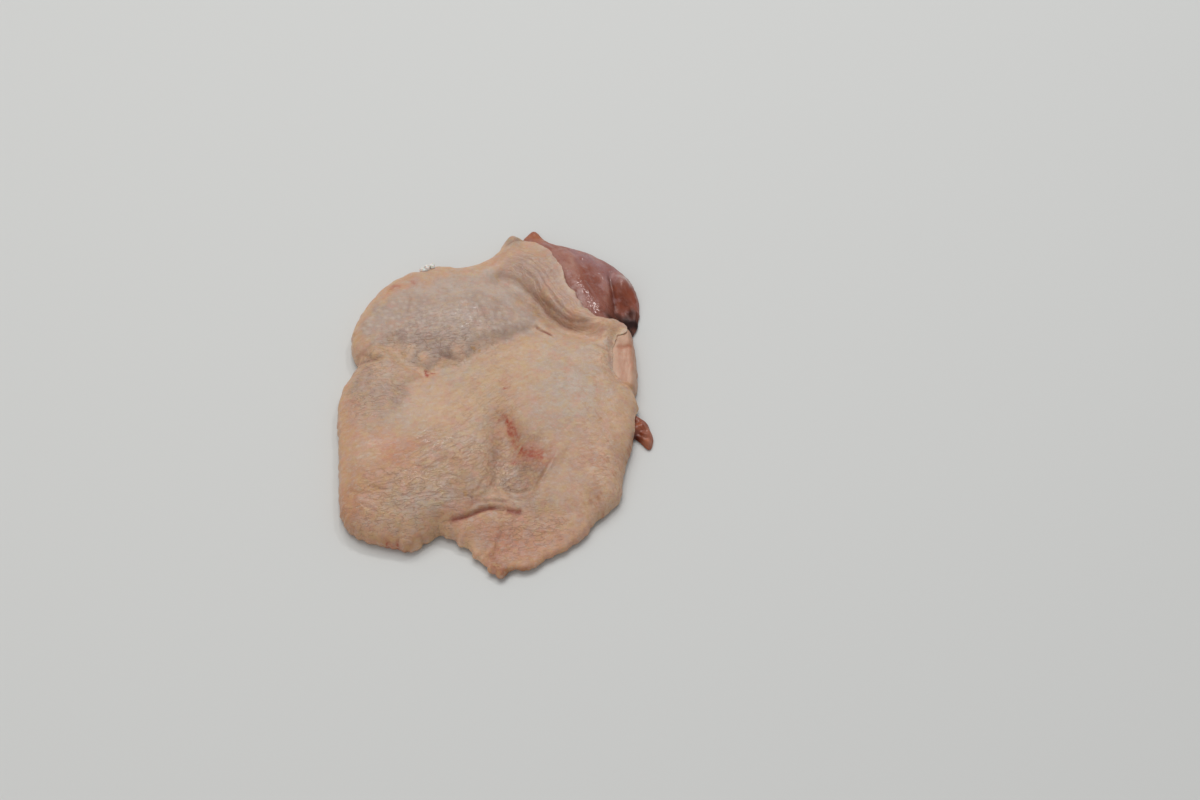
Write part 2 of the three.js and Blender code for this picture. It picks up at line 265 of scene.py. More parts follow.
def line_distance(points, line, closed=False):
    """Distance to a line and the place along it: above 0 inside a closed line and left of an open one."""
    line = np.asarray(line, float)[:, :2]
    ends = np.roll(line, -1, 0)
    best = np.full(len(points), np.inf)
    at = np.zeros(len(points))
    side = np.zeros(len(points))
    inside = np.zeros(len(points), bool)
    for k in range(len(line) if closed else len(line) - 1):
        a, step = line[k], ends[k] - line[k]
        away = points - a
        t = np.clip(away @ step / (step @ step), 0, 1)
        d = np.hypot(away[:, 0] - t * step[0], away[:, 1] - t * step[1])
        near = d < best
        best[near] = d[near]
        at[near] = k + t[near]
        side[near] = (step[0] * away[:, 1] - step[1] * away[:, 0])[near]
        if closed and step[1] != 0:
            cross = (a[1] > points[:, 1]) != (a[1] + step[1] > points[:, 1])
            inside ^= cross & (points[:, 0] < a[0] + step[0] * (points[:, 1] - a[1]) / step[1])
    if closed:
        return np.where(inside, best, -best), at
    return np.where(side >= 0, best, -best), at


def ease(share):
    """Runs softly from 0 to 1 while share does."""
    s = np.clip(share, 0, 1)
    return s * s * (3 - 2 * s)


def shoulder(share):
    """How far a quarter-round shoulder has risen at a share of its width."""
    left = 1 - np.clip(share, 0, 1)
    return np.sqrt(1 - left * left)


def waves(points, size, seed, count=26):
    """A smooth random field around 0, whose swellings are about size millimetres wide."""
    draw = np.random.default_rng(seed)
    turn = draw.uniform(0, 2 * np.pi, count)
    pitch = 2 * np.pi / (size * draw.uniform(1.4, 3.0, count))
    phase = draw.uniform(0, 2 * np.pi, count)
    total = np.zeros(len(points))
    for a, k, start in zip(turn, pitch, phase):
        total += np.cos((points[:, 0] * math.cos(a) + points[:, 1] * math.sin(a)) * k + start)
    return total / math.sqrt(count / 2)


def grain(points, turn, length, width, seed):
    """The same, drawn out along one direction, as fibres are."""
    c, s = math.cos(math.radians(turn)), math.sin(math.radians(turn))
    along = points[:, 0] * c + points[:, 1] * s
    across = points[:, 1] * c - points[:, 0] * s
    return waves(np.stack([along * width / length, across], 1), width, seed)


def wrinkles(points, turn, length, width, seed, sharp=0.4):
    """Thin creases between soft pillows: 1 along the lines where a drawn-out random field is 0."""
    return np.exp(-(grain(points, turn, length, width, seed) / sharp) ** 2) - 0.4


def oval(points, x, y, across, along, turn=0.0, hardness=1.0):
    """1 in the middle of an oval and 0 well outside it."""
    c, s = math.cos(math.radians(turn)), math.sin(math.radians(turn))
    dx, dy = points[:, 0] - x, points[:, 1] - y
    return np.exp(-(((dx * c + dy * s) / across) ** 2 + ((dy * c - dx * s) / along) ** 2) ** hardness)


def cover(points, ovals):
    """Ovals of x, y, half widths across and along, turn and strength, laid over each other."""
    bare = np.ones(len(points))
    for x, y, across, along, turn, strength in ovals:
        bare *= 1 - strength * oval(points, x, y, across, along, turn, 1.3)
    return 1 - bare


def stroke(points, line, width, fade=0.25):
    """1 along the middle of a line and 0 beside it, fading out towards both of its ends."""
    path = smooth_path(line)
    low, high = path.min(0) - 3 * width, path.max(0) + 3 * width
    near = np.all((points > low) & (points < high), axis=1)
    made = np.zeros(len(points))
    if near.any():
        d, at = line_distance(points[near], path)
        share = at / (len(path) - 1)
        made[near] = np.exp(-(d / width) ** 2) * ease(share / fade) * ease((1 - share) / fade)
    return made


def strokes(points, lines):
    """Strokes of a line, half width and strength, the strongest one showing."""
    made = np.zeros(len(points))
    for line, width, strength in lines:
        made = np.maximum(made, strength * stroke(points, line, width, 0.15))
    return made


# %% [markdown]
# ## How high the steak stands
#
# The muscles under the skin swell it into mounds, and the folds between them press furrows into it. These
# are the mounds and folds of the solid model, so the two agree. The trough in the middle goes a little
# deeper here, because it holds the darkest shadow of the skin. Each deeper layer follows a fold less
# closely.

# %% Mounds and folds
BODY_HEIGHT = 9.0
MOUNDS = [   # x, y, half widths across and along, turn, rise
    (-18, 38, 33, 25, -12, 6.6), (-47, 0, 12, 17, 6, 3.2), (30, -2, 27, 30, -20, 3.8),
    (-30, -46, 27, 24, 0, 4.4), (42, -36, 16, 24, 8, 1.6), (12, -80, 36, 15, 12, -4.6),
    (37, 58, 9, 24, 24, 5.6), (56, 63, 5, 7, 35, 3.2), (57, 47, 4.5, 8, 10, -6.0), (14, 96, 7, 6, 0, -3.5),
]
FOLDS = [   # line, rise (below 0 for a furrow), half width
    ([(6, 78), (15, 72), (22, 61), (27, 50), (34, 41), (44, 35)], 2.5, 6.5),
    ([(2, 63), (11, 58), (18, 48), (25, 39), (33, 32.5), (43, 30)], -3.0, 4.6),
    ([(-44, 24), (-37, 13), (-29, 9), (-16, 12), (-5, 19), (6, 26), (17, 32)], -1.9, 4.0),
    ([(-50, 20), (-42, 14), (-34, 8)], 1.3, 3.5),
    ([(5, -18), (7, -34), (8, -49)], -2.8, 6.4),
    ([(10, -26), (13.5, -36), (15, -49)], -1.5, 6.0),
    ([(29, -32), (25, -44), (21, -56)], 1.0, 3.6),
    ([(-17, -67), (-9, -66), (-2, -62), (4, -60.5), (13, -62)], -1.1, 2.8),
    ([(51, 68), (52, 58), (52, 44)], -2.2, 1.8),
]


def relief(points, easing=1.0):
    """Height of the steak's top far from any edge."""
    height = np.full(len(points), BODY_HEIGHT)
    for x, y, across, along, turn, rise in MOUNDS:
        height += rise * oval(points, x, y, across, along, turn)
    for line, rise, width in FOLDS:
        width = width * easing if rise < 0 else width / easing
        height += rise * np.exp(-(line_distance(points, line)[0] / width) ** 2)
    return height


# %% Tops of the layers
SKIN_THICKNESS = 2.0
SKIN_THINNEST = 1.4
SKIN_GAP = 0.15                    # space between the skin and what it lies on
MEAT_SHOULDER, MEAT_WALL, MEAT_EASING, FLAP_MEAT = 9.0, 0.25, 1.35, 1.6
EDGE_TUCK = 1.6
FAT_HEIGHT, TAB_HEIGHT = 7.7, 3.6
SCRAP_SHOULDER = 3.0
meat_line = smooth_loop(MEAT_EDGE, 420)
scrap_lines = [(smooth_loop(FAT_STRIP_EDGE, 90), FAT_HEIGHT), (smooth_loop(MEAT_TAB_EDGE, 80), TAB_HEIGHT)]


def meat_top(points, inward):
    """Height of the meat, which rises from a low wall over a wide shoulder and ends at its edge."""
    full = np.maximum(FLAP_MEAT, relief(points, MEAT_EASING) - SKIN_THICKNESS - 0.4)
    rise = MEAT_WALL + (1 - MEAT_WALL) * shoulder(inward / MEAT_SHOULDER)
    return np.where(inward < -EDGE_TUCK, 0, full * rise)


def scrap_rise(inward):
    """Share of its height that a scrap has reached at a distance inside its edge."""
    return 0.3 + 0.7 * shoulder(inward / SCRAP_SHOULDER)


def fat_swell(points):
    """How far the strip of fat swells where the skin's lip meets it."""
    return 0.9 * oval(points, 55, 32, 5.5, 4.5)


def under_skin(points):
    """Height of whatever the skin lies on: the meat, the strip of fat or the tab of meat."""
    tops = [meat_top(points, line_distance(points, meat_line, closed=True)[0])]
    for line, height in scrap_lines:
        inward, _ = line_distance(points, line, closed=True)
        swell = fat_swell(points) if height == FAT_HEIGHT else 0
        tops.append(np.where(inward < -EDGE_TUCK, 0, swell + height * scrap_rise(inward)))
    return np.max(tops, axis=0)


def larger(a, b, soft=0.4):
    """The larger of two heights, with a soft passage from one to the other."""
    return soft * np.logaddexp(a / soft, b / soft)


# %% [markdown]
# ## A shell of even facets
#
# Raw skin has to be cut into a fine and even net, or its wrinkles break up. A round net with a pole in the
# middle would crowd its facets there, so the net starts as a square grid that is pulled out to the outline,
# and its inner points are then eased until the cells are even. Underneath goes a second, coarser grid. The
# two are sewn together round a rounded rim, two fine cells to each coarse one, so the piece is one closed
# body.

# %% Even outline
def even_edge(stations, count, hub, wobble, seed):
    """An outline sampled at even distances, starting right of the hub, with its way out and a ragged cut."""
    fine = smooth_loop(stations, 30 * len(stations))
    start = np.argmin(np.abs(np.arctan2(fine[:, 1] - hub[1], fine[:, 0] - hub[0])))
    fine = np.roll(fine, -start, 0)
    ring = np.vstack([fine, fine[:1]])
    run = np.concatenate([[0], np.cumsum(np.hypot(*np.diff(ring[:, :2], axis=0).T))])
    want = np.arange(count) / count * run[-1]
    made = np.stack([np.interp(want, run, ring[:, c]) for c in range(ring.shape[1])], 1)
    across = np.roll(made[:, :2], -1, 0) - np.roll(made[:, :2], 1, 0)
    out = np.stack([across[:, 1], -across[:, 0]], 1) / np.hypot(*across.T)[:, None]
    ragged = 0.6 * waves(made, 3.2, seed) + 0.3 * waves(made, 1.4, seed + 1)
    made[:, :2] += out * (ragged * wobble(made))[:, None]
    return made, out


def knife_cut(edge):
    """How ragged the skin's edge is in mm: most at the front and along the muscle, where it was cut."""
    return 0.22 + 0.26 * ease((-55 - edge[:, 1]) / 12) + 0.15 * (edge[:, 2] > 8.0)


def spread(cells, loop, hub, easing):
    """A square grid of places pulled out to an outline of 4 * cells places, and eased inside it."""
    line = np.linspace(-1, 1, cells + 1)
    u, v = np.meshgrid(line, line)
    ring = np.maximum(np.abs(u), np.abs(v))
    a, b = u / np.maximum(ring, 1e-9), v / np.maximum(ring, 1e-9)
    share = np.select([a >= np.abs(b), b >= np.abs(a), -a >= np.abs(b)],
                      [b / 8, 0.25 - a / 8, 0.5 - b / 8], 0.75 + a / 8) % 1
    at = share * len(loop)
    low = np.floor(at + 1e-6).astype(int)
    part = np.clip(at - low, 0, 1)[..., None]
    place = loop[low % len(loop)] * (1 - part) + loop[(low + 1) % len(loop)] * part
    grid = hub + (place - hub) * ring[..., None]
    for _ in range(easing):
        grid[1:-1, 1:-1] = (grid[:-2, 1:-1] + grid[2:, 1:-1] + grid[1:-1, :-2] + grid[1:-1, 2:]) / 4
    return grid.reshape(-1, 2)


def loop_of(cells):
    """Numbers of a grid's outer places, once round from the middle of its right side."""
    n = cells
    k = np.arange((n + 1) ** 2).reshape(n + 1, n + 1)
    return np.concatenate([k[n // 2:n, n], k[n, n:0:-1], k[n:0:-1, 0], k[0, 0:n], k[0:n // 2, n]])


# %% Net of a closed piece
RIM = [(0.30, 0.80), (0.42, 0.55), (0.20, 0.25)]   # how far out and at what share of the height


def lay_net(edge, out, hub, cells, tuck, easing=60):
    """Places of all points of a piece: the fine top grid, the rings of the rim, and the coarse grid below."""
    loop, hub = edge[:, :2], np.asarray(hub, float)
    foot = loop - out * np.broadcast_to(tuck, len(loop))[:, None]
    upper = spread(cells, loop, hub, easing)
    lower = spread(cells // 2, foot[::2], hub, easing)
    return np.vstack([upper, *(loop + out * outward for outward, _ in RIM), lower])


def quads(cells, start, flip):
    """Faces of a grid, facing up, or down when flipped."""
    k = np.arange((cells + 1) ** 2).reshape(cells + 1, cells + 1) + start
    four = [k[:-1, :-1], k[:-1, 1:], k[1:, 1:], k[1:, :-1]]
    return np.stack([q.ravel() for q in (four[::-1] if flip else four)], 1).tolist()


def raise_net(places, cells, top, under):
    """Gives a net the heights of its top and underside, and sews the two together round the rim."""
    upper_count, around = (cells + 1) ** 2, 4 * cells
    rim_loop, foot_loop = loop_of(cells), loop_of(cells // 2)
    foot = np.repeat(under[foot_loop], 2)
    foot = (foot + np.roll(foot, 1)) / 2
    rings = [foot + (top[rim_loop] - foot) * rise for _, rise in RIM]
    points = np.column_stack([places, np.concatenate([top, *rings, under])])
    faces = quads(cells, 0, False)
    above = rim_loop
    for r in range(len(RIM)):
        below = upper_count + r * around + np.arange(around)
        faces += np.stack([above, below, np.roll(below, -1), np.roll(above, -1)], 1).tolist()
        above = below
    start = upper_count + len(RIM) * around
    c0 = foot_loop + start
    c1 = np.roll(c0, -1)
    a0, a1, a2 = above[::2], above[1::2], np.roll(above[::2], -1)
    for three in ((a0, c0, a1), (a1, c0, c1), (a1, c1, a2)):
        faces += np.stack(three, 1).tolist()
    return points, faces + quads(cells // 2, start, True)


def make_piece(name, points, faces, masks, material):
    """A mesh object in the frame, with its masks as attributes, which the materials read."""
    mesh = bpy.data.meshes.new(name)
    placed = (points - (*FRAME_ORIGIN, 0)) * MM
    mesh.from_pydata(placed.tolist(), [], faces)
    mesh.polygons.foreach_set("use_smooth", [True] * len(mesh.polygons))
    for mask, values in masks.items():
        layer = mesh.attributes.new(mask, "FLOAT", "POINT")
        layer.data.foreach_set("value", np.asarray(values, np.float32))
    mesh.materials.append(material)
    mesh.update()
    made = bpy.data.objects.new(name, mesh)
    bpy.context.scene.collection.objects.link(made)
    triangles = sum(len(p.vertices) - 2 for p in mesh.polygons)
    print(f"{name}: {triangles} triangles, {points[:, 2].min():.2f} to {points[:, 2].max():.2f} mm high")
    return made


# %% [markdown]
# ## The folds of the skin
#
# Between the big folds the skin is never flat. It has soft swellings a finger wide, it puckers where two
# muscles pull at it, and beside the bare muscle it is gathered into a thick rolled band with strands
# running along it. Each of these is pressed into the height of the top, because a fold that is only painted
# on gives itself away in low light and from the side.

# %% Creases
# line, depth in mm (above 0 for a ridge), half width, how dark it looks
CREASES = [
    ([(6, 65), (14, 57.6), (20, 49.4), (25, 41.8), (30, 36.8), (36.5, 33.6), (44, 32.6)], -1.2, 1.5, 0.75),
    ([(17, 56), (21, 50.5), (27, 43), (32, 38.2), (38, 35.8), (47, 35.8)], -0.7, 0.8, 0.8),
    ([(5, 73.8), (12, 72), (18, 66.5), (22, 57.6), (28, 45.8), (34, 39.4), (40, 37)], -0.28, 0.5, 0.35),
    ([(4, 70), (11, 68.2), (16, 62.8), (20, 54.9), (25, 46)], -0.35, 0.6, 0.4),
    ([(8, 77), (15, 73.6), (21, 65.6), (25.4, 56)], -0.3, 0.5, 0.2),
    ([(2, 66.5), (9, 63.5), (14, 57.8)], -0.35, 0.6, 0.35),
    ([(17.5, 35.6), (21, 31.8), (27, 27.8)], -0.9, 0.5, 0.8),
    ([(17, 33.6), (20, 30.2), (25, 27)], 0.35, 0.9, 0.0),
    ([(-23.5, 18), (-18.6, 16), (-13, 15.5)], -0.8, 0.8, 0.9),
    ([(-5.6, 45), (-4.4, 40), (-2.4, 35)], -0.4, 1.5, 0.35),
    ([(-36, 52), (-37.2, 44), (-37.3, 36)], -0.30, 0.8, 0.3),
    ([(-7.4, 70), (-9.7, 63), (-12.4, 56)], 0.45, 1.0, 0.0),
    ([(-60, 17), (-51.5, 15), (-44, 17.4)], -1.1, 1.4, 0.5),
    ([(-59.5, 15.4), (-53, 11), (-49, 6)], -0.5, 1.0, 0.3),
    ([(-60, 19), (-54, 21.5), (-50, 27)], -0.45, 1.0, 0.3),
    ([(-56.5, 21), (-52.5, 17.5), (-49, 13)], -0.5, 0.7, 0.5),
    ([(-17, -67.2), (-8, -64.7), (-3, -62.2), (2, -60.4), (7, -60.6), (14.5, -61.8)], -1.3, 0.6, 0.85),
    ([(-15, -65), (-7, -62.8), (-2, -60), (3, -58.6), (8, -58.9)], 0.6, 1.0, 0.0),
    ([(-9, -66.6), (-3, -64), (3, -62.4), (8, -62.8)], 0.4, 1.0, 0.0),
    ([(-1, -58.4), (3, -57.2), (11, -57.0)], -0.7, 0.8, 0.8),
    ([(6, -50.2), (11.5, -50.5), (17.5, -50.7)], -0.55, 0.6, 0.8),
    ([(5, -51.8), (11.5, -52), (17.5, -52.2)], 0.45, 0.8, 0.0),
    ([(8, -54.6), (13, -54.8), (18, -54.6)], -0.3, 0.7, 0.35),
    ([(28.8, -34.5), (24.4, -43.6), (20.3, -53.6)], 0.55, 0.9, 0.0),
    ([(26.6, -36), (22.2, -44.5), (18.4, -53)], -0.5, 1.0, 0.45),
    ([(4.5, -22), (2.5, -38), (3.6, -47), (-2.6, -56.5), (-9.5, -62.3)], -0.6, 1.6, 0.35),
    ([(8, -65), (5.8, -73.4), (3.6, -83)], -0.6, 1.0, 0.25),
    ([(11, -66), (9.2, -73), (7.6, -81)], 0.35, 1.1, 0.0),
    ([(18, -62.5), (24, -66), (33, -68)], -0.3, 0.8, 0.15),
    ([(14, -64), (18, -71), (24, -76)], -0.3, 0.8, 0.15),
    ([(-6, -55.4), (-3, -52), (-1.6, -47)], -0.4, 0.7, 0.4),
    ([(-30, -41), (-25, -43.6), (-18, -43)], -0.35, 0.6, 0.4),
    ([(-33, -29), (-27, -27), (-22.5, -24.6)], -0.35, 0.55, 0.45),
    ([(-27, -36), (-21, -33.4), (-15, -33.6)], -0.3, 0.6, 0.4),
    ([(-20, -48), (-14, -46.5), (-9, -48)], -0.35, 0.6, 0.35),
    ([(-40, -62), (-33, -61.5), (-27, -64)], -0.3, 0.6, 0.35),
    ([(-37, -56), (-30, -57.5), (-22, -55.5)], -0.3, 0.6, 0.3),
    ([(-24, -63), (-17, -61.6), (-11, -62.6)], -0.3, 0.6, 0.35),
    ([(-44, -48), (-36, -47), (-31, -49)], -0.3, 0.6, 0.3),
    ([(-9, -33), (-5.5, -28), (-4.6, -22)], -0.3, 0.6, 0.3),
    ([(-47.5, -52), (-42.4, -53.2), (-38.6, -54)], -0.6, 0.7, 0.7),
    ([(-10.5, -53.8), (-6.8, -56), (-4, -56.8)], -0.5, 0.8, 0.75),
    ([(-59, -51.5), (-51.5, -54.1), (-43.5, -56)], -0.35, 0.8, 0.3),
    ([(-50.5, -59.3), (-45.5, -62.1), (-41, -66.5)], -0.3, 0.8, 0.3),
    ([(-54.5, -58), (-49, -64), (-47.5, -69)], -0.2, 0.9, 0.15),
    ([(-25.5, -26), (-23, -30), (-24, -33)], -0.35, 0.7, 0.3),
    ([(-22.5, -41), (-16, -38), (-9, -39.8)], -0.45, 0.8, 0.45),
    ([(-30, -30), (-27, -31.6), (-23, -29)], -0.3, 0.7, 0.35),
    ([(41.5, 25.5), (47, 22.5), (51, 21)], -0.4, 0.7, 0.4),
    ([(38, 21.5), (43, 20.5), (47.5, 18.5)], -0.3, 0.7, 0.25),
    ([(26.5, 30.5), (34, 28.5), (42, 29.5)], 0.4, 1.6, 0.0),
    ([(-33.4, -78), (-34, -73), (-33.0, -69)], -0.35, 0.8, 0.25),
    ([(42, -52), (46, -57), (47, -61)], -0.3, 0.8, 0.2),
    ([(2.4, 84), (7, 87.4), (12.6, 90.6)], -1.0, 0.9, 0.45),
]
STRAND_PITCH = 2.7                 # from one strand of the band to the next
BAND = [(1, 76), (10, 74.5), (18, 67), (22.5, 57.5), (28.5, 46.5), (34.5, 40), (41, 37), (49, 37.5)]
LILAC_FIELD = [
    (-54, 42), (-57, 32), (-50, 24.5), (-41.7, 22), (-36, 13.5), (-30, 13.5), (-22.5, 16.8), (-14.5, 14),
    (-9.8, 12.8), (-4.7, 17.4), (3, 23), (12, 27.5), (17.5, 36), (13, 50), (8, 62), (-2, 66), (-14, 63),
    (-28, 61), (-42, 54),
]
# zone as x, y, half widths and turn; then direction, length, width and depth of its wrinkles
WRINKLED = [
    ((-20, -34, 17, 12, 10), 38, 4.0, 1.3, 0.11), ((-24, -57, 22, 12, 5), 12, 5.0, 1.3, 0.10),
    ((1, -38, 7, 24, 0), 62, 4.0, 1.3, 0.11), ((-50, -61, 9, 9, 0), -14, 9.0, 1.7, 0.12),
    ((42, -38, 15, 28, 8), -50, 4.0, 1.3, 0.06), ((12, -50, 10, 9, 0), 4, 7.0, 1.5, 0.10),
    ((6, -76, 8, 11, 0), 76, 10.0, 1.8, 0.10), ((25, -74, 14, 7, 20), 14, 8.0, 1.5, 0.07),
    ((-53, 14, 8, 8, 0), 28, 6.0, 1.4, 0.12), ((8, 55, 10, 16, -20), -55, 8.0, 1.6, 0.06),
    ((-52, -10, 9, 14, 0), -60, 4.0, 1.6, 0.05), ((0, 5, 26, 14, 10), -30, 4.0, 1.4, 0.03),
    ((50, 14, 5, 26, 0), 70, 6.0, 1.6, 0.07), ((46, 37, 9, 4, 0), 10, 5.0, 1.5, 0.10),
    ((-30, 62, 26, 6, 5), 30, 5.0, 1.5, 0.06),
]
THREAD_PITCH = 1.25                # from one fine thread on it to the next
KEPT_DEPTH = 0.6                   # share of a crease's depth that the soft skin keeps


def skin_detail(points):
    """Finer relief of the skin in mm, how dark its folds look, and the rolled band's place and strands."""
    height = 0.10 * waves(points, 10.0, 11) + 0.045 * waves(points, 4.6, 12) + 0.022 * waves(points, 1.7, 13)
    dark = np.zeros(len(points))
    for line, rise, width, darkness in CREASES:
        mark = stroke(points, line, width)
        height += KEPT_DEPTH * rise * mark
        dark = np.maximum(dark, darkness * mark)
    for i, (zone, turn, length, width, depth) in enumerate(WRINKLED):
        share = oval(points, *zone)
        crease = wrinkles(points + 0.8 * waves(points, 6.0, 60 + i)[:, None], turn, length, width, 90 + i)
        height -= depth * share * crease
        dark = np.maximum(dark, 2.6 * depth * share * np.clip(crease, 0, 1))
    away, at = line_distance(points, smooth_path(BAND))
    share = at / (6 * (len(BAND) - 1))
    on_band = np.exp(-((away + 1.2) / 8.0) ** 4) * ease(share / 0.1) * ease((1 - share) / 0.06)
    bend = away + 0.7 * waves(points, 6.0, 41)
    strand = np.cos(bend * 2 * np.pi / STRAND_PITCH) * (0.6 + 0.4 * waves(points, 7.0, 42))
    return height + 0.05 * strand * on_band, dark, away, on_band


# %% Shape of the skin
STEAK_HUB = (-2.0, 4.0)
SKIN_CELLS = 272
FLAP_LIFT = 1.0                    # how far the thin flap's edge curls up off the floor
FAT_SIDE = (54.5, 20.5, 8.0, 21.5, 0, 3.0)   # where the skin ends flush on the fat, as an oval
THINNER_ON_FAT, CLOSER_ON_FAT = 1.2, 0.13


def along_edge(at, values):
    """Reads numbers that stand round an outline at any place along it."""
    return np.interp(at, np.arange(len(values) + 1), np.append(values, values[0]))


skin_edge, skin_out = even_edge(SKIN_EDGE, 4 * SKIN_CELLS, STEAK_HUB, knife_cut, 5)
on_muscle = skin_edge[:, 2] > 7.2
thin_flap = ease((3.5 - skin_edge[:, 2]) / 0.5)
skin_tuck = np.where(on_muscle, 0.3, EDGE_TUCK - 0.9 * thin_flap)
skin_places = lay_net(skin_edge, skin_out, STEAK_HUB, SKIN_CELLS, skin_tuck)
upper_count, lower_count = (SKIN_CELLS + 1) ** 2, (SKIN_CELLS // 2 + 1) ** 2
upper, lower = skin_places[:upper_count], skin_places[-lower_count:]

skin_line = skin_edge[::2]
skin_inward, skin_at = line_distance(skin_places, skin_line, closed=True)
skin_inward = np.maximum(skin_inward, 0)
detail, fold_dark, band_away, on_band = skin_detail(skin_places)
edge_height = along_edge(skin_at, skin_line[:, 2])
edge_width = along_edge(skin_at, skin_line[:, 3])
skin_thin = along_edge(skin_at, thin_flap[::2])

free = edge_height + (relief(skin_places) - edge_height) * shoulder(skin_inward / edge_width)
by_fat = oval(upper, *FAT_SIDE)
lowest_top = under_skin(upper) + SKIN_GAP + SKIN_THINNEST - THINNER_ON_FAT * by_fat
top = larger(free[:upper_count] - 0.8 * by_fat, lowest_top, 0.25)
top += (detail * (0.25 + 0.75 * ease(skin_inward / 3.0)))[:upper_count]
beneath = under_skin(lower)
lift = FLAP_LIFT * (skin_thin * np.exp(-(skin_inward / 3.0) ** 2))[-lower_count:]
under = np.where(beneath > 0, beneath + SKIN_GAP - CLOSER_ON_FAT * oval(lower, *FAT_SIDE), lift)
skin_points, skin_faces = raise_net(skin_places, SKIN_CELLS, top, under)
print("skin is up to", round(skin_points[:, 2].max(), 2), "mm high")


# %% [markdown]
# ## Where the skin changes colour
#
# Raw skin is one thin translucent sheet, so its colour comes from below: cream to peach over yellow fat,
# lilac over dark meat, blue-grey over a bare membrane, tan in patches over the front lobe and pink where it
# was handled. Some masks paint light and shade instead: painted shade in the trough, on the tilted right
# panel and in the folds, painted warm bounced light round the edges, and painted highlights on the lips of
# folds. Each of these is a soft mask over the drawing. The masks are bent by a random field, so no patch
# has a drawn outline.

# %% Masks of the skin
def inside(points, outline, soft):
    """1 inside a closed outline and 0 outside it, with a soft border."""
    inward, _ = line_distance(points, smooth_loop(outline, 6 * len(outline)), closed=True)
    return ease(inward / soft + 0.5)


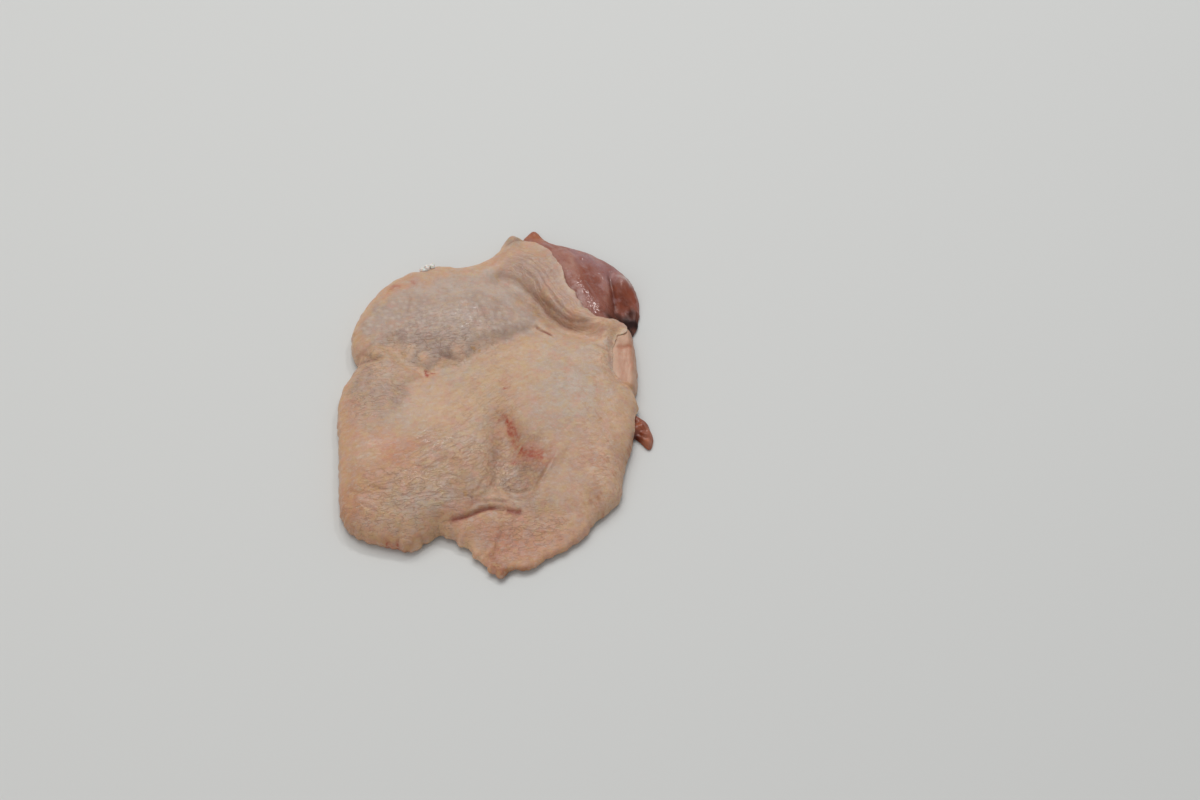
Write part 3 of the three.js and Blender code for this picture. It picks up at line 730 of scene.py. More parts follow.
PATCHES = {   # x, y, half widths across and along, turn and strength of each oval
    "plum": [
        (-24, 22.5, 8, 5, 0, 0.85), (-18, 18.5, 8, 3, -5, 0.85), (-37, 27, 7, 8, 20, 0.7),
        (-24, 30, 10, 6, 0, 0.5), (-33, 36, 6, 10, 0, 0.6), (-6, 33, 7, 6, 0, 0.45),
        (2, 36, 12, 8, -10, 0.55), (-5, 44, 5, 9, 0, 0.3), (-38.4, 0.4, 4.6, 5, 20, 0.55),
        (-42.6, -6, 4.4, 5, 0, 0.6), (-44.6, -16, 4.4, 4, 0, 0.6), (-54, 3, 4, 4.5, 0, 0.5),
        (-47, 5, 3.4, 2.6, 0, 0.5), (-51, -3, 3, 3.4, 0, 0.4), (-39, -11, 3, 2.6, 0, 0.4),
        (-50, -12, 3, 2.6, 0, 0.3), (-24, -58, 10, 4, 0, 0.4), (-36, -62, 5, 4, 0, 0.3),
        (-10, -57, 5, 4, 0, 0.3), (-56.6, -7.8, 3.4, 3.4, 0, 0.5), (-49, 13, 7, 3, 20, 0.5),
        (13, 55, 4, 9, 35, 0.5), (19, 47, 4, 8, 30, 0.6), (26, 39.5, 4, 4, 0, 0.45),
        (16, 66, 6, 4, 20, 0.3), (-48, 44, 6, 5, 30, 0.35), (-16, 52, 7, 5, 0, 0.3),
        (-52, 30, 5, 6, 0, 0.35), (6, 28, 8, 3, 20, 0.35),
    ],
    "blue": [
        (35, 0, 15, 18, 0, 0.9), (25, -13, 11, 9, 0, 0.5), (8, -42, 3, 8, 5, 0.5), (-16, 9, 11, 5, 15, 0.8),
        (-26, -60, 15, 7, 0, 0.6), (-16, -30, 10, 5, 0, 0.3), (-6, -57, 5, 4, 0, 0.3),
        (26, 20, 8, 6, 0, 0.25), (-24, 8, 6, 4, 0, 0.4), (-14, -57, 6, 5, 0, 0.4), (-34, -44, 5, 4, 0, 0.3),
    ],
    "tan": [
        (-28, -51, 24, 15, 0, 0.9), (-12, -40, 11, 16, 0, 0.6), (-30, -68, 16, 8, 0, 0.25),
        (2, -26, 6, 16, 0, 0.3), (-50, 32, 7, 9, 0, 0.7), (-6, -63, 12, 5, 20, 0.6),
        (22, -18, 16, 8, -20, 0.3), (-48, -48, 10, 5, 0, 0.4), (30, 1, 9, 8, 0, 0.4),
        (-30, -22, 20, 6, 0, 0.3), (22, -30, 13, 7, 0, 0.45),
    ],
    # painted shade in the trough, in the valley beside the rolled band and along a fold, over the greyer
    # colour of the meat showing through
    "shade": [
        (19, -39, 7, 9, 10, 1.0), (13, -44, 7, 11, 0, 0.95), (3, -36, 4, 15, -4, 0.4),
        (15, -24, 6, 8, 0, 0.3), (17, -31, 10, 5, 0, 0.75), (27, -20, 9, 6, -30, 0.25),
        (-3, -57, 6, 5, 30, 0.35), (-11, -51, 8, 8, 0, 0.3), (19, -54, 4, 6, 0, 0.5),
        (24, 42, 5, 5, 40, 0.6), (19, 50, 2.6, 9, 30, 0.6), (31, 35.5, 6, 2, -20, 0.6),
        (11, -50, 7, 1.6, 0, 0.4),
    ],
    "blush": [
        (-37, -34, 9, 8, 0, 1.0), (-43, -29, 10, 7, 0, 0.55), (-33, -45, 8, 6, 0, 0.4),
        (-59, -42, 6, 14, 0, 0.4), (43, -32, 7, 9, 0, 0.4), (46, -48, 8, 10, 0, 0.35),
        (52, -14, 7, 8, 0, 0.2), (-44, 57, 7, 3, 35, 0.8), (-27, 9, 5, 3.4, 0, 0.7),
        (-57, -18, 6, 16, 0, 0.35), (42, 30, 10, 4, 0, 0.35), (24, -32, 7, 5, 40, 0.4),
        (36, 34.5, 9, 4, -15, 0.6), (52, 4, 6, 8, 0, 0.2), (-62, 2, 4, 12, 0, 0.3),
        (-24, -30, 7, 2.5, 20, 0.6), (-14, -38.5, 7, 2, 0, 0.5), (-35, 58, 8, 4, 0, 0.5),
        (5, 80, 8, 5, 0, 0.3), (37, -2, 4, 7, 0, 0.15), (-6, 75, 9, 3, 15, 0.4),
    ],
    # painted shade on the right panel, which tilts away from the light; the paint is a little pink as well
    "panel_shade": [(42, -38, 20, 30, 8, 0.85), (30, -60, 16, 10, 20, 0.5)],
    "band_skin": [
        (12, 70, 9, 7, -20, 0.9), (24, 61, 6, 14, 28, 0.95), (33, 46, 9, 6, -40, 0.9),
        (25, 76, 6, 9, 20, 0.9),
    ],
    "rose": [
        (22, -75, 22, 9, 22, 0.8), (5, -73, 10, 12, 0, 0.8), (6, -77, 2.6, 9, -8, 0.8),
        (12, -62.8, 4, 1.8, 0, 0.9), (31, -72, 9, 3, 30, 0.7), (-9, -68, 7, 4, 15, 0.7),
        (-10, -62, 12, 4, 20, 0.6),
    ],
    # painted warm bounced light on the front-left corner, along the front and left edges and beside the fat
    # strip
    "apricot_bounce_light": [
        (-55, -60, 9, 10, 0, 0.85), (-44, -53, 13, 8, 0, 0.45), (-48, -43, 10, 6, 0, 0.35),
        (-38, -74, 16, 3, 0, 0.5), (20, -83, 14, 4, 15, 0.5), (57, 6, 4, 5, 0, 0.4), (52, 26, 6, 3, 0, 0.5),
        (-61, -34, 2.5, 14, 0, 0.25),
    ],
    # painted shade with a warm bounced glow at the flap's tip and along the bottom and right edges
    "ember_bounce_and_shade": [
        (7, -86.5, 5, 5, 0, 1.0), (8, -85, 4, 3, 0, 0.9), (36, -77, 16, 2.2, 38, 0.35),
        (-34, -77, 15, 2, 0, 0.5), (-54, -67, 8, 5, -35, 0.35), (16, -87, 9, 2.4, 0, 0.8),
        (58, -30, 2.5, 12, -8, 0.3), (47, -61, 4, 4, 0, 0.4),
    ],
    "fat": [
        (2, 10, 24, 13, 20, 0.8), (20, 24, 16, 7, 10, 0.45), (-42, 18, 10, 4, -42, 0.9),
        (-12, -8, 18, 10, 20, 0.5), (52, -12, 10, 15, 0, 0.9), (50, 36, 9, 3, 0, 0.35),
        (-47, -50, 12, 3, -6, 0.4), (17, -83, 9, 4, 0, 0.3), (41, 39, 7, 3, -20, 0.4),
        (-12, 60, 3, 8, 15, 0.3), (-50, -28, 10, 8, 0, 0.4), (-54, -50, 6, 3, 0, 0.4),
    ],
    "light": [
        (50, -46, 6, 24, 5, 0.85), (57, -16, 4, 11, 0, 0.75), (48.5, 20, 3.5, 15, 0, 0.7),
        (34, -66, 13, 5, 35, 0.6), (43, -61, 8, 5, 40, 0.55), (3.4, -49, 3, 9, 0, 0.8),
        (3, -34, 3, 6, 0, 0.5), (-15, -39, 5, 7, 0, 0.35), (-38, 21, 7, 4, -40, 0.9),
        (-14, 14, 12, 3, 20, 0.6), (-24, 10.5, 8, 3.6, 0, 0.9), (-6, 21.5, 6, 4, 20, 0.6),
        (43, 33, 9, 4, 0, 0.5), (53, 31, 5, 4, 0, 0.8), (-50, 11, 6, 4, 0, 0.4),
    ],
    "light_lilac": [
        (-18, 55, 24, 5, 0, 0.7), (3, 55, 7, 8, 0, 0.75), (-6, 64, 8, 4, 10, 0.4), (21, 38, 4, 5, 40, 0.3),
        (24, 28, 8, 4, 10, 0.35), (40, 22, 8, 5, 0, 0.4),
    ],
    # pale skin, with painted highlights on the lips above folds, on the skin's lip over the fat and a small
    # glint on the front lobe
    "pale_and_lit_lips": [
        (9, -43, 1.6, 6, 0, 0.5), (-8.6, 66, 1.5, 5, 15, 0.5), (-14, -44, 4, 2, 20, 0.3),
        (38, -3, 8, 10, 0, 0.3), (-28, -60, 9, 3, 0, 0.3), (-42, -29, 3, 1.5, 0, 0.5),
        (11.5, -52.3, 6, 0.9, 0, 0.7), (0, -60.6, 7, 1, 14, 0.7), (29.5, 65, 1.8, 15, 22, 0.7),
        (39, 41.5, 6, 1.6, -35, 0.6), (50.6, 18, 1.2, 12, 0, 0.8), (53, 31, 4, 1.4, 20, 0.8),
        (56, 2, 5, 1.4, -30, 0.6),
    ],
    "grey": [(6, 90.5, 6, 5.5, 0, 1.0), (14, 88, 5, 3, 30, 0.4)],
    "flush": [
        (8.5, -21, 4, 10, 15, 0.7), (19, -34.6, 9, 4.5, -10, 0.85), (6, -1, 3, 3, 0, 0.5),
        (11, -36.5, 3, 3, 0, 0.6),
    ],
}
RED_MARKS = [
    ([(5.2, -13.5), (7.0, -16), (8.4, -18.5)], 1.2, 1.0),
    ([(7.6, -17), (9.6, -20.4), (10.4, -23.5)], 1.9, 0.95),
    ([(9.4, -22), (11.4, -26), (11.8, -29.5)], 1.7, 0.7),
    ([(13, -30.8), (15, -33.4), (17.4, -34.2)], 2.0, 1.0),
    ([(16, -34), (19, -35), (23.5, -36.6)], 1.9, 1.0),
    ([(18, -31.6), (20.6, -33.4), (22.4, -34.8)], 1.2, 0.8),
    ([(10.2, -35.2), (11.2, -37), (11.0, -38)], 1.3, 0.9),
    ([(28.5, -35.5), (26.6, -38.2), (25, -41)], 1.2, 0.4), ([(5.6, 0.4), (6.6, -1.8)], 1.4, 0.8),
    ([(-29, 10), (-26.8, 9.0), (-24.6, 9.8)], 1.8, 1.0), ([(-47, 54.6), (-42, 57.6)], 1.8, 0.6),
    ([(-36.4, 60.5), (-35.4, 57)], 1.3, 0.6), ([(-32.5, -50.6), (-30.4, -51)], 1.0, 0.5),
    ([(-41, -76), (-37, -76.8), (-34.4, -76)], 1.7, 0.9), ([(46, -64), (49, -60)], 1.2, 0.6),
    ([(59, -26), (57.4, -33)], 0.9, 0.6), ([(42, -37), (43.6, -41)], 0.9, 0.35),
]
RED_LINES = [   # thin lines at the bottom of folds
    ([(18, 35), (21, 31.8), (26, 28.4)], 0.55, 0.7), ([(8, -60.9), (12, -61.6), (15, -61.4)], 1.2, 1.0),
    ([(-17, -67), (-8, -64.9), (-3, -62.4), (2, -60.6), (8, -60.8)], 0.8, 0.95),
    ([(54.5, 26.5), (57.5, 25.8)], 0.8, 0.6),
]
YELLOW_MARKS = [
    ([(-9, 20.7), (-7.6, 20.4), (-6, 20.8)], 1.0, 1.0),
    ([(-27, 1.6), (-25.8, 1.2), (-24.6, 1.6)], 0.8, 0.5), ([(-41.5, -48.5), (-40.2, -51.5)], 0.7, 0.5),
    ([(-27.6, -46), (-26.8, -49), (-29, -52)], 0.6, 0.5),
    ([(-31.5, -47), (-32.4, -50), (-30, -52.6)], 0.6, 0.4), ([(-47.5, -53.2), (-43, -54.4)], 0.8, 0.6),
    ([(-10, -53.6), (-6.4, -55.4)], 0.7, 0.6), ([(-46, -34.4), (-43, -34)], 0.7, 0.4),
    ([(-14, -50.6), (-12.6, -51)], 0.8, 0.3), ([(26, -74.5), (28, -74)], 0.7, 0.4),
]

bent = skin_places + 1.8 * np.stack([waves(skin_places, 5.0, 31), waves(skin_places, 5.0, 32)], 1)
fine = skin_places + 0.6 * np.stack([waves(skin_places, 1.8, 33), waves(skin_places, 1.8, 34)], 1)
is_top = np.arange(len(skin_places)) < len(skin_places) - lower_count
by_muscle = along_edge(skin_at, on_muscle[::2].astype(float))
skin_mask = {name: cover(bent, ovals) for name, ovals in PATCHES.items()}
skin_mask |= {
    "lilac": np.maximum(0.95 * inside(bent, LILAC_FIELD, 7.0), cover(bent, [
        (-49, 0, 14, 15, 10, 0.5), (-45, -15, 13, 12, 0, 0.3),
        (12, 64, 9, 10, 30, 0.6), (28, 66, 3, 14, 22, 0.3)])),
    "red": strokes(fine, RED_MARKS),
    "red_line": strokes(skin_places, RED_LINES),
    "yellow": strokes(fine, YELLOW_MARKS),
    "dark": np.clip(fold_dark, 0, 1),
    # painted light: a warm lighter band round the skin's edge, away from the muscle, for light thrown back
    # onto the edges
    "rim_bounce_light": np.exp(-(skin_inward / 3.4) ** 2) * (1 - 0.85 * by_muscle),
    "cut": np.exp(-(skin_inward / 1.6) ** 2) * by_muscle,
    "band": on_band,
    "band_away": band_away,
    "pimply": is_top * np.maximum.reduce([
        inside(bent, LILAC_FIELD, 9.0) * (1 - 0.85 * on_band), 0.5 * oval(bent, -50, -2, 11, 14),
        0.30 * oval(bent, 0, -5, 34, 34), 0.35 * oval(bent, 44, -30, 16, 30)]),
    "dotted": cover(bent, [(44, -34, 20, 38, 8, 1.0), (-6, -24, 18, 22, 0, 0.9), (24, 4, 30, 22, 0, 0.6)]),
    "slant_right": cover(bent, [(44, -40, 16, 30, 8, 1.0), (34, -8, 20, 16, 0, 0.4)]),
    "slant_left": cover(bent, [(-14, -36, 24, 15, 0, 1.0), (0, -8, 16, 18, 0, 0.6), (3, -40, 6, 15, 0, 0.8)]),
    "crepe": cover(bent, [(-28, -54, 28, 16, 0, 1.0), (-34, -68, 26, 8, 0, 0.8), (12, -44, 10, 18, 0, 0.9),
                          (14, -72, 22, 14, 20, 0.8), (-24, 22, 26, 11, 0, 1.0), (-50, -2, 13, 18, 0, 0.9),
                          (-53, 14, 8, 7, 0, 0.9), (48, -40, 12, 26, 8, 0.5), (-20, 46, 34, 22, 0, 0.45),
                          (52, 20, 8, 24, 0, 0.5), (10, 6, 40, 20, 0, 0.2), (-50, -34, 14, 16, 0, 0.25)]),
    "wet": cover(bent, [(-43, -31, 6, 4, 0, 1.0), (-56, -41, 5, 5, 0, 1.0), (-27, -27, 5, 3, 0, 0.9),
                        (-16, -30, 14, 8, 0, 0.6), (-28, -50, 14, 9, 0, 0.8),
                        (-22, 34, 22, 14, 0, 0.5), (8, -44, 6, 10, 0, 0.7),
                        (24, 72, 5, 10, 20, 0.6), (-50, -62, 9, 8, 0, 0.7)]),
}
print("masks of the skin:", {name: round(float(v.mean()), 3) for name, v in skin_mask.items()})


# %% [markdown]
# ## The finish of the skin
#
# The material mixes one paint after another by those masks, and breaks each up with noise of the right
# size: lobules of fat a few millimetres wide, pores every three or four, and a fine grain that only shows
# in the gloss. A little light goes into the skin and comes out again nearby, redder than it went in, which
# is what makes it look soft. A thin wet film lies over it as a clear coat.

# %% Material helpers
FILM_FOLLOWS = 0.35                # share of the fine relief that the wet film takes on


def start_material(name, soften, softness, film, film_roughness):
    """A material whose light spreads a little inside it, under a clear wet film."""
    made = bpy.data.materials.new(name)
    made.use_nodes = True
    shader = made.node_tree.nodes["Principled BSDF"]
    shader.inputs["Subsurface Weight"].default_value = soften
    shader.inputs["Subsurface Radius"].default_value = (1.0, 0.42, 0.28)
    shader.inputs["Subsurface Scale"].default_value = softness * MM
    shader.inputs["Coat Weight"].default_value = film
    shader.inputs["Coat Roughness"].default_value = film_roughness
    return made, made.node_tree, shader


def mask_of(tree, name):
    return add(tree, "ShaderNodeAttribute", attribute_name=name).outputs["Fac"]


def mixed(tree, factor, under, over):
    """Lays one paint over another where the factor is 1."""
    node = add(tree, "ShaderNodeMix", {0: factor}, data_type="RGBA")
    for slot, colour in ((6, under), (7, over)):
        if isinstance(colour, bpy.types.NodeSocket):
            tree.links.new(colour, node.inputs[slot])
        else:
            node.inputs[slot].default_value = colour
    return node.outputs[2]


def math_of(tree, kind, a, b=0.0):
    """One number from two."""
    return add(tree, "ShaderNodeMath", {0: a, 1: b}, operation=kind).outputs[0]


def times(tree, a, b):
    return math_of(tree, "MULTIPLY", a, b)


def ramp(tree, value, low, high, out_low=0.0, out_high=1.0):
    """Stretches the part of a value between low and high, and holds it there."""
    node = add(tree, "ShaderNodeMapRange", {"Value": value, "From Min": low, "From Max": high,
                                            "To Min": out_low, "To Max": out_high})
    return node.outputs[0]


def noise(tree, place, size, detail=2.0, roughness=0.5, kind="FBM"):
    """Noise on the piece's own coordinates, its lumps about size millimetres wide."""
    return add(tree, "ShaderNodeTexNoise", {"Vector": place, "Scale": 0.5 / (size * MM), "Detail": detail,
                                            "Roughness": roughness}, noise_type=kind).outputs[0]


def stretched(tree, place, turn, length, width):
    """Coordinates in which a pattern comes out drawn along one direction."""
    return add(tree, "ShaderNodeMapping", {"Vector": place, "Rotation": (0, 0, math.radians(turn)),
                                           "Scale": (length / width, 1, 1)}, vector_type="TEXTURE").outputs[0]


def bumped(tree, shader, height, strength, depth):
    """Shades a height pattern as a relief so many millimetres deep, which the wet film follows less."""
    for socket, share in (("Normal", 1.0), ("Coat Normal", FILM_FOLLOWS)):
        bump = add(tree, "ShaderNodeBump", {
            "Height": height, "Strength": strength * share, "Distance": depth * MM})
        tree.links.new(bump.outputs[0], shader.inputs[socket])


def coloured(tree, shader, colour, roughness):
    """Gives a shader its colour and its roughness."""
    tree.links.new(colour, shader.inputs["Base Color"])
    tree.links.new(roughness, shader.inputs["Roughness"])


# %% Paints of the skin
LOST = 0.03                        # share of the light that a paint seems to lose in the folds
CREAM, PEACH, ASH = [paint(*tone, LOST) for tone in ((193, 160, 131), (194, 149, 119), (178, 155, 134))]
# some of these paints stand for light and shade: painted shade in the trough and on the right panel, painted
# warm bounced light and shade round the edges, and painted highlights on the lips of folds
SKIN_PAINTS = [   # mask, its paint, and how strong it is where the mottling is low and where it is high
    ("fat", (196, 161, 123), 0.6, 1.0), ("tan", (166, 128, 87), 1.0, 0.65),
    ("panel_shade", (174, 138, 114), 1.0, 0.6), ("lilac", (168, 147, 135), 1.0, 0.75),
    ("blue", (170, 154, 139), 1.0, 0.7), ("plum", (142, 113, 101), 1.0, 0.15),
    ("band_skin", (162, 130, 117), 0.7, 1.0), ("shade", (128, 94, 74), 1.0, 0.5),
    ("rose", (188, 121, 94), 0.55, 1.0), ("blush", (190, 122, 88), 0.6, 1.0),
    ("rim_bounce_light", (210, 168, 132), 0.5, 0.8), ("cut", (198, 172, 156), 0.4, 0.9),
    ("apricot_bounce_light", (184, 122, 82), 0.55, 0.9), ("ember_bounce_and_shade", (146, 76, 34), 0.8, 1.0),
    ("light", (214, 178, 149), 0.7, 0.95), ("light_lilac", (194, 176, 163), 0.8, 0.8),
    ("pale_and_lit_lips", (194, 174, 154), 0.9, 0.8), ("grey", (154, 132, 112), 1.0, 0.9),
    ("flush", (180, 112, 78), 0.4, 0.9),
]
STREAK, PORE = paint(172, 112, 78), paint(166, 112, 78)
ORANGE_FLECK, PALE_FLECK = paint(186, 138, 100), paint(196, 180, 162)
PALE_PIMPLE = paint(192, 174, 158)
LOBULES = [   # size in mm, paint, and the range of the noise over which it shows
    (1.7, paint(196, 163, 112), 0.50, 0.70), (1.7, paint(182, 154, 147), 0.50, 0.28),
    (2.3, paint(196, 142, 122), 0.51, 0.66),
]
# the paint of fold shade, and the brown painted shade along the thin crepe folds
FOLD_SHADE, CREPE_SHADE = paint(120, 74, 54), paint(140, 104, 80)
# painted shade between the band's strands, and a painted highlight on their pale crests
STRAND_SHADE, STRAND_CREST_HIGHLIGHT = paint(146, 106, 86), paint(200, 172, 152)
BLOOD, RED_FOLD, YELLOW = paint(160, 66, 36), paint(136, 62, 40), paint(182, 136, 76)


def crepe(tree, place, turn, length, width):
    """Thin folds of slack skin: 1 along the lines where a drawn-out noise passes its middle."""
    field = noise(tree, stretched(tree, place, turn, length, width), width, 2.0)
    off = math_of(tree, "ABSOLUTE", math_of(tree, "SUBTRACT", field, 0.5))
    return ramp(tree, off, 0.005, 0.035, 1.0, 0.0)


# %% Skin material
skin_finish, tree, shader = start_material("raw_chicken_skin", 0.20, 1.8, 0.0, 0.13)
place = add(tree, "ShaderNodeTexCoord").outputs["Object"]
clouds = noise(tree, place, 7.0, 3.0)
mottle = noise(tree, place, 2.2, 5.0, 0.68)
colour = mixed(tree, ramp(tree, clouds, 0.40, 0.60), ASH, PEACH)
colour = mixed(tree, ramp(tree, mottle, 0.35, 0.6, 0.2, 0.9), colour, CREAM)
for mask, over, low, high in SKIN_PAINTS:
    strength = times(tree, mask_of(tree, mask), ramp(tree, mottle, 0.36, 0.64, low, high))
    colour = mixed(tree, strength, colour, paint(*over, LOST))

# flecks of fat shine through everywhere, drawn out sideways: some orange, some pale
flecks = noise(tree, stretched(tree, place, 8, 1.3, 0.85), 0.85, 4.0, 0.7)
veiled = ramp(tree, mask_of(tree, "lilac"), 0.0, 1.0, 1.0, 0.6)
colour = mixed(tree, times(tree, veiled, ramp(tree, flecks, 0.52, 0.68, 0.0, 0.6)), colour, ORANGE_FLECK)
colour = mixed(tree, times(tree, veiled, ramp(tree, flecks, 0.48, 0.34, 0.0, 0.45)), colour, PALE_FLECK)

# yellow lobules of fat lie under the skin, and between them it is lilac or pink
for size, over, low, high in LOBULES:
    lobules = noise(tree, place, size, 4.0, 0.62)
    colour = mixed(tree, times(tree, veiled, ramp(tree, lobules, low, high, 0.0, 0.5)), colour, over)

# short orange streaks, slanting one way on the panel and the other way on the middle
for mask, turn in (("slant_right", -50), ("slant_left", 38)):
    streak = noise(tree, stretched(tree, place, turn, 3.0, 0.8), 0.8, 2.0)
    shown = times(tree, ramp(tree, streak, 0.56, 0.70, 0.0, 0.5), mask_of(tree, mask))
    colour = mixed(tree, shown, colour, STREAK)

# slack skin lies in thin folds, which slant on the middle and lie level on the lobes,
# and brown painted shade marks their lines
slant_fold = times(tree, crepe(tree, place, 36, 3.6, 1.1), mask_of(tree, "slant_left"))
level_fold = times(tree, crepe(tree, place, 8, 2.6, 1.0), mask_of(tree, "crepe"))
folds = math_of(tree, "MAXIMUM", slant_fold, level_fold)
fold_strength = times(tree, folds, ramp(tree, clouds, 0.35, 0.65, 0.25, 0.6))
colour = mixed(tree, fold_strength, colour, CREPE_SHADE)

# pores, as short dashes of uneven size
for size, edge_size, amount in ((3.3, 0.16, 0.5), (2.1, 0.12, 0.3)):
    pores = add(tree, "ShaderNodeTexVoronoi", {
        "Vector": stretched(tree, place, -30, 1.7, 1.0), "Scale": 1 / (size * MM), "Randomness": 1.0})
    pore = ramp(tree, pores.outputs["Distance"], edge_size * 0.5, edge_size * 1.5, amount, 0.0)
    pore = times(tree, pore, ramp(tree, clouds, 0.4, 0.6, 0.2, 1.0))
    colour = mixed(tree, times(tree, pore, mask_of(tree, "dotted")), colour, PORE)
patchy = ramp(tree, noise(tree, place, 4.0, 2.0), 0.38, 0.62, 0.15, 0.7)
colour = mixed(tree, times(tree, mask_of(tree, "pimple"), patchy), colour, PALE_PIMPLE)

# the strands of the rolled band follow its distance lines; painted shade lies between them, deepest in the
# valley beside the band, and a painted highlight lies on their pale crests
bend = ramp(tree, noise(tree, place, 4.0, 2.0), 0.0, 1.0, -1.8, 1.8)
away = math_of(tree, "ADD", mask_of(tree, "band_away"), bend)
wide = math_of(tree, "SINE", times(tree, away, 2 * math.pi / STRAND_PITCH))
thin = math_of(tree, "SINE", times(tree, math_of(tree, "ADD", away, bend), 2 * math.pi / THREAD_PITCH))
strand = math_of(tree, "ADD", times(tree, wide, 0.5), times(tree, thin, 0.5))
on_strand = times(tree, mask_of(tree, "band"), ramp(tree, mottle, 0.36, 0.64, 0.2, 1.0))
in_valley = ramp(tree, mask_of(tree, "band_away"), -3.0, 5.0, 0.08, 0.55)
between = times(tree, ramp(tree, strand, 0.0, -0.9), in_valley)
colour = mixed(tree, times(tree, on_strand, between), colour, STRAND_SHADE)
colour = mixed(tree, times(tree, on_strand, ramp(tree, strand, 0.1, 0.9, 0.0, 0.4)), colour, STRAND_CREST_HIGHLIGHT)

# folds are shaded, and blood stands at the bottom of some of them and where the skin was bruised
folded = times(tree, mask_of(tree, "dark"), ramp(tree, mottle, 0.34, 0.6, 0.35, 0.85))
colour = mixed(tree, folded, colour, FOLD_SHADE)
clots = ramp(tree, noise(tree, place, 0.9, 4.0, 0.65), 0.38, 0.56, 0.25, 1.0)
colour = mixed(tree, times(tree, mask_of(tree, "red"), clots), colour, BLOOD)
seeped = times(tree, mask_of(tree, "red_line"), ramp(tree, mottle, 0.34, 0.56, 0.4, 1.0))
colour = mixed(tree, seeped, colour, RED_FOLD)
colour = mixed(tree, mask_of(tree, "yellow"), colour, YELLOW)

# the wet film is smoother than the skin, whose fine relief is crepe, pores and the strands of the band
wet = mask_of(tree, "wet")
gloss = math_of(tree, "SUBTRACT", ramp(tree, mottle, 0.36, 0.64, 0.42, 0.56), times(tree, wet, 0.12))
coloured(tree, shader, colour, gloss)
tree.links.new(ramp(tree, wet, 0.0, 1.0, 0.06, 0.5), shader.inputs["Coat Weight"])
slack = math_of(tree, "MAXIMUM", mask_of(tree, "crepe"), mask_of(tree, "slant_left"))
rough = times(tree, noise(tree, place, 0.7, 4.0, 0.65), ramp(tree, slack, 0.0, 1.0, 0.7, 1.5))
ridges = noise(tree, place, 1.7, 3.0, 0.55, "RIDGED_MULTIFRACTAL")
rough = math_of(tree, "ADD", rough, times(tree, ridges, 0.3))
rough = math_of(tree, "SUBTRACT", rough, times(tree, folds, 0.42))
rough = math_of(tree, "ADD", rough, times(tree, times(tree, mask_of(tree, "band"), strand), 0.18))
bumped(tree, shader, rough, 0.8, 0.42)


# %% [markdown]
# ## The pimples
#
# Where the feathers stood, the skin is raised into pimples, in rows about three and a half millimetres
# apart, like bricks in a wall. They are strongest over the back of the lobe, and a Geometry Nodes tree
# makes them: it lays a shaken lattice over the drawing, lifts each point of the net by how near it lies to
# a lattice cell's middle, and writes the same number down for the material, so that each pimple is paler
# than the skin round it.

# %% Geometry Nodes helpers
def nodes_tree(name, sockets):
    """An empty Geometry Nodes tree with named inputs and the geometry going in and out."""
    made = bpy.data.node_groups.new(name, "GeometryNodeTree")
    made.interface.new_socket("Geometry", in_out="INPUT", socket_type="NodeSocketGeometry")
    made.interface.new_socket("Geometry", in_out="OUTPUT", socket_type="NodeSocketGeometry")
    for label, kind in sockets.items():
        made.interface.new_socket(label, in_out="INPUT", socket_type=kind)
    return made, made.nodes.new("NodeGroupInput"), made.nodes.new("NodeGroupOutput")


def apply_tree(piece, made, values):
    """Runs a tree on a piece and keeps the result as the piece's plain mesh."""
    modifier = piece.modifiers.new(made.name, "NODES")
    modifier.node_group = made
    for item in made.interface.items_tree:
        if item.in_out == "INPUT" and item.name in values:
            modifier[item.identifier] = values[item.name]
    graph = bpy.context.evaluated_depsgraph_get()
    mesh = bpy.data.meshes.new_from_object(piece.evaluated_get(graph), preserve_all_data_layers=True,
                                           depsgraph=graph)
    piece.modifiers.clear()
    piece.data = mesh
    print(f"{piece.name}: {made.name} applied, {len(mesh.polygons)} faces")
    return piece


def vector_math(tree, kind, a, b):
    """One vector from two, or from a vector and a number."""
    second = "Scale" if kind == "SCALE" else 1
    return add(tree, "ShaderNodeVectorMath", {0: a, second: b}, operation=kind).outputs[0]


# %% Pimple tree
PIMPLE_FOOT, PIMPLE_CROWN = 0.40, 0.06   # from a lattice cell's middle, in cells
pimples, given, result = nodes_tree("pimples", {
    "Row Spacing": "NodeSocketFloat", "Height": "NodeSocketFloat", "Shaking": "NodeSocketFloat",
    "Drift": "NodeSocketFloat", "Material": "NodeSocketMaterial"})
where = add(pimples, "GeometryNodeInputPosition").outputs[0]
drift = add(pimples, "ShaderNodeTexNoise", {"Vector": where, "Scale": 45.0, "Detail": 1.0}).outputs["Color"]
drift = vector_math(pimples, "SUBTRACT", drift, (0.5, 0.5, 0.5))
where = vector_math(pimples, "ADD", where, vector_math(pimples, "SCALE", drift, given.outputs["Drift"]))
axes = add(pimples, "ShaderNodeSeparateXYZ", {0: where})
brick = math_of(pimples, "ADD", axes.outputs[0], times(pimples, axes.outputs[1], 0.5))
lattice = add(pimples, "ShaderNodeCombineXYZ", {0: brick, 1: times(pimples, axes.outputs[1], 0.9)})
cells = add(pimples, "ShaderNodeTexVoronoi", {
    "Vector": lattice.outputs[0], "Scale": math_of(pimples, "DIVIDE", 1.0, given.outputs["Row Spacing"]),
    "Randomness": given.outputs["Shaking"]}, voronoi_dimensions="2D")
lift = add(pimples, "ShaderNodeMapRange", {
    "Value": cells.outputs["Distance"], "From Min": PIMPLE_FOOT, "From Max": PIMPLE_CROWN},
    interpolation_type="SMOOTHSTEP")
zone = add(pimples, "GeometryNodeInputNamedAttribute", {"Name": "pimply"}, data_type="FLOAT")
lift = times(pimples, lift.outputs[0], zone.outputs[0])
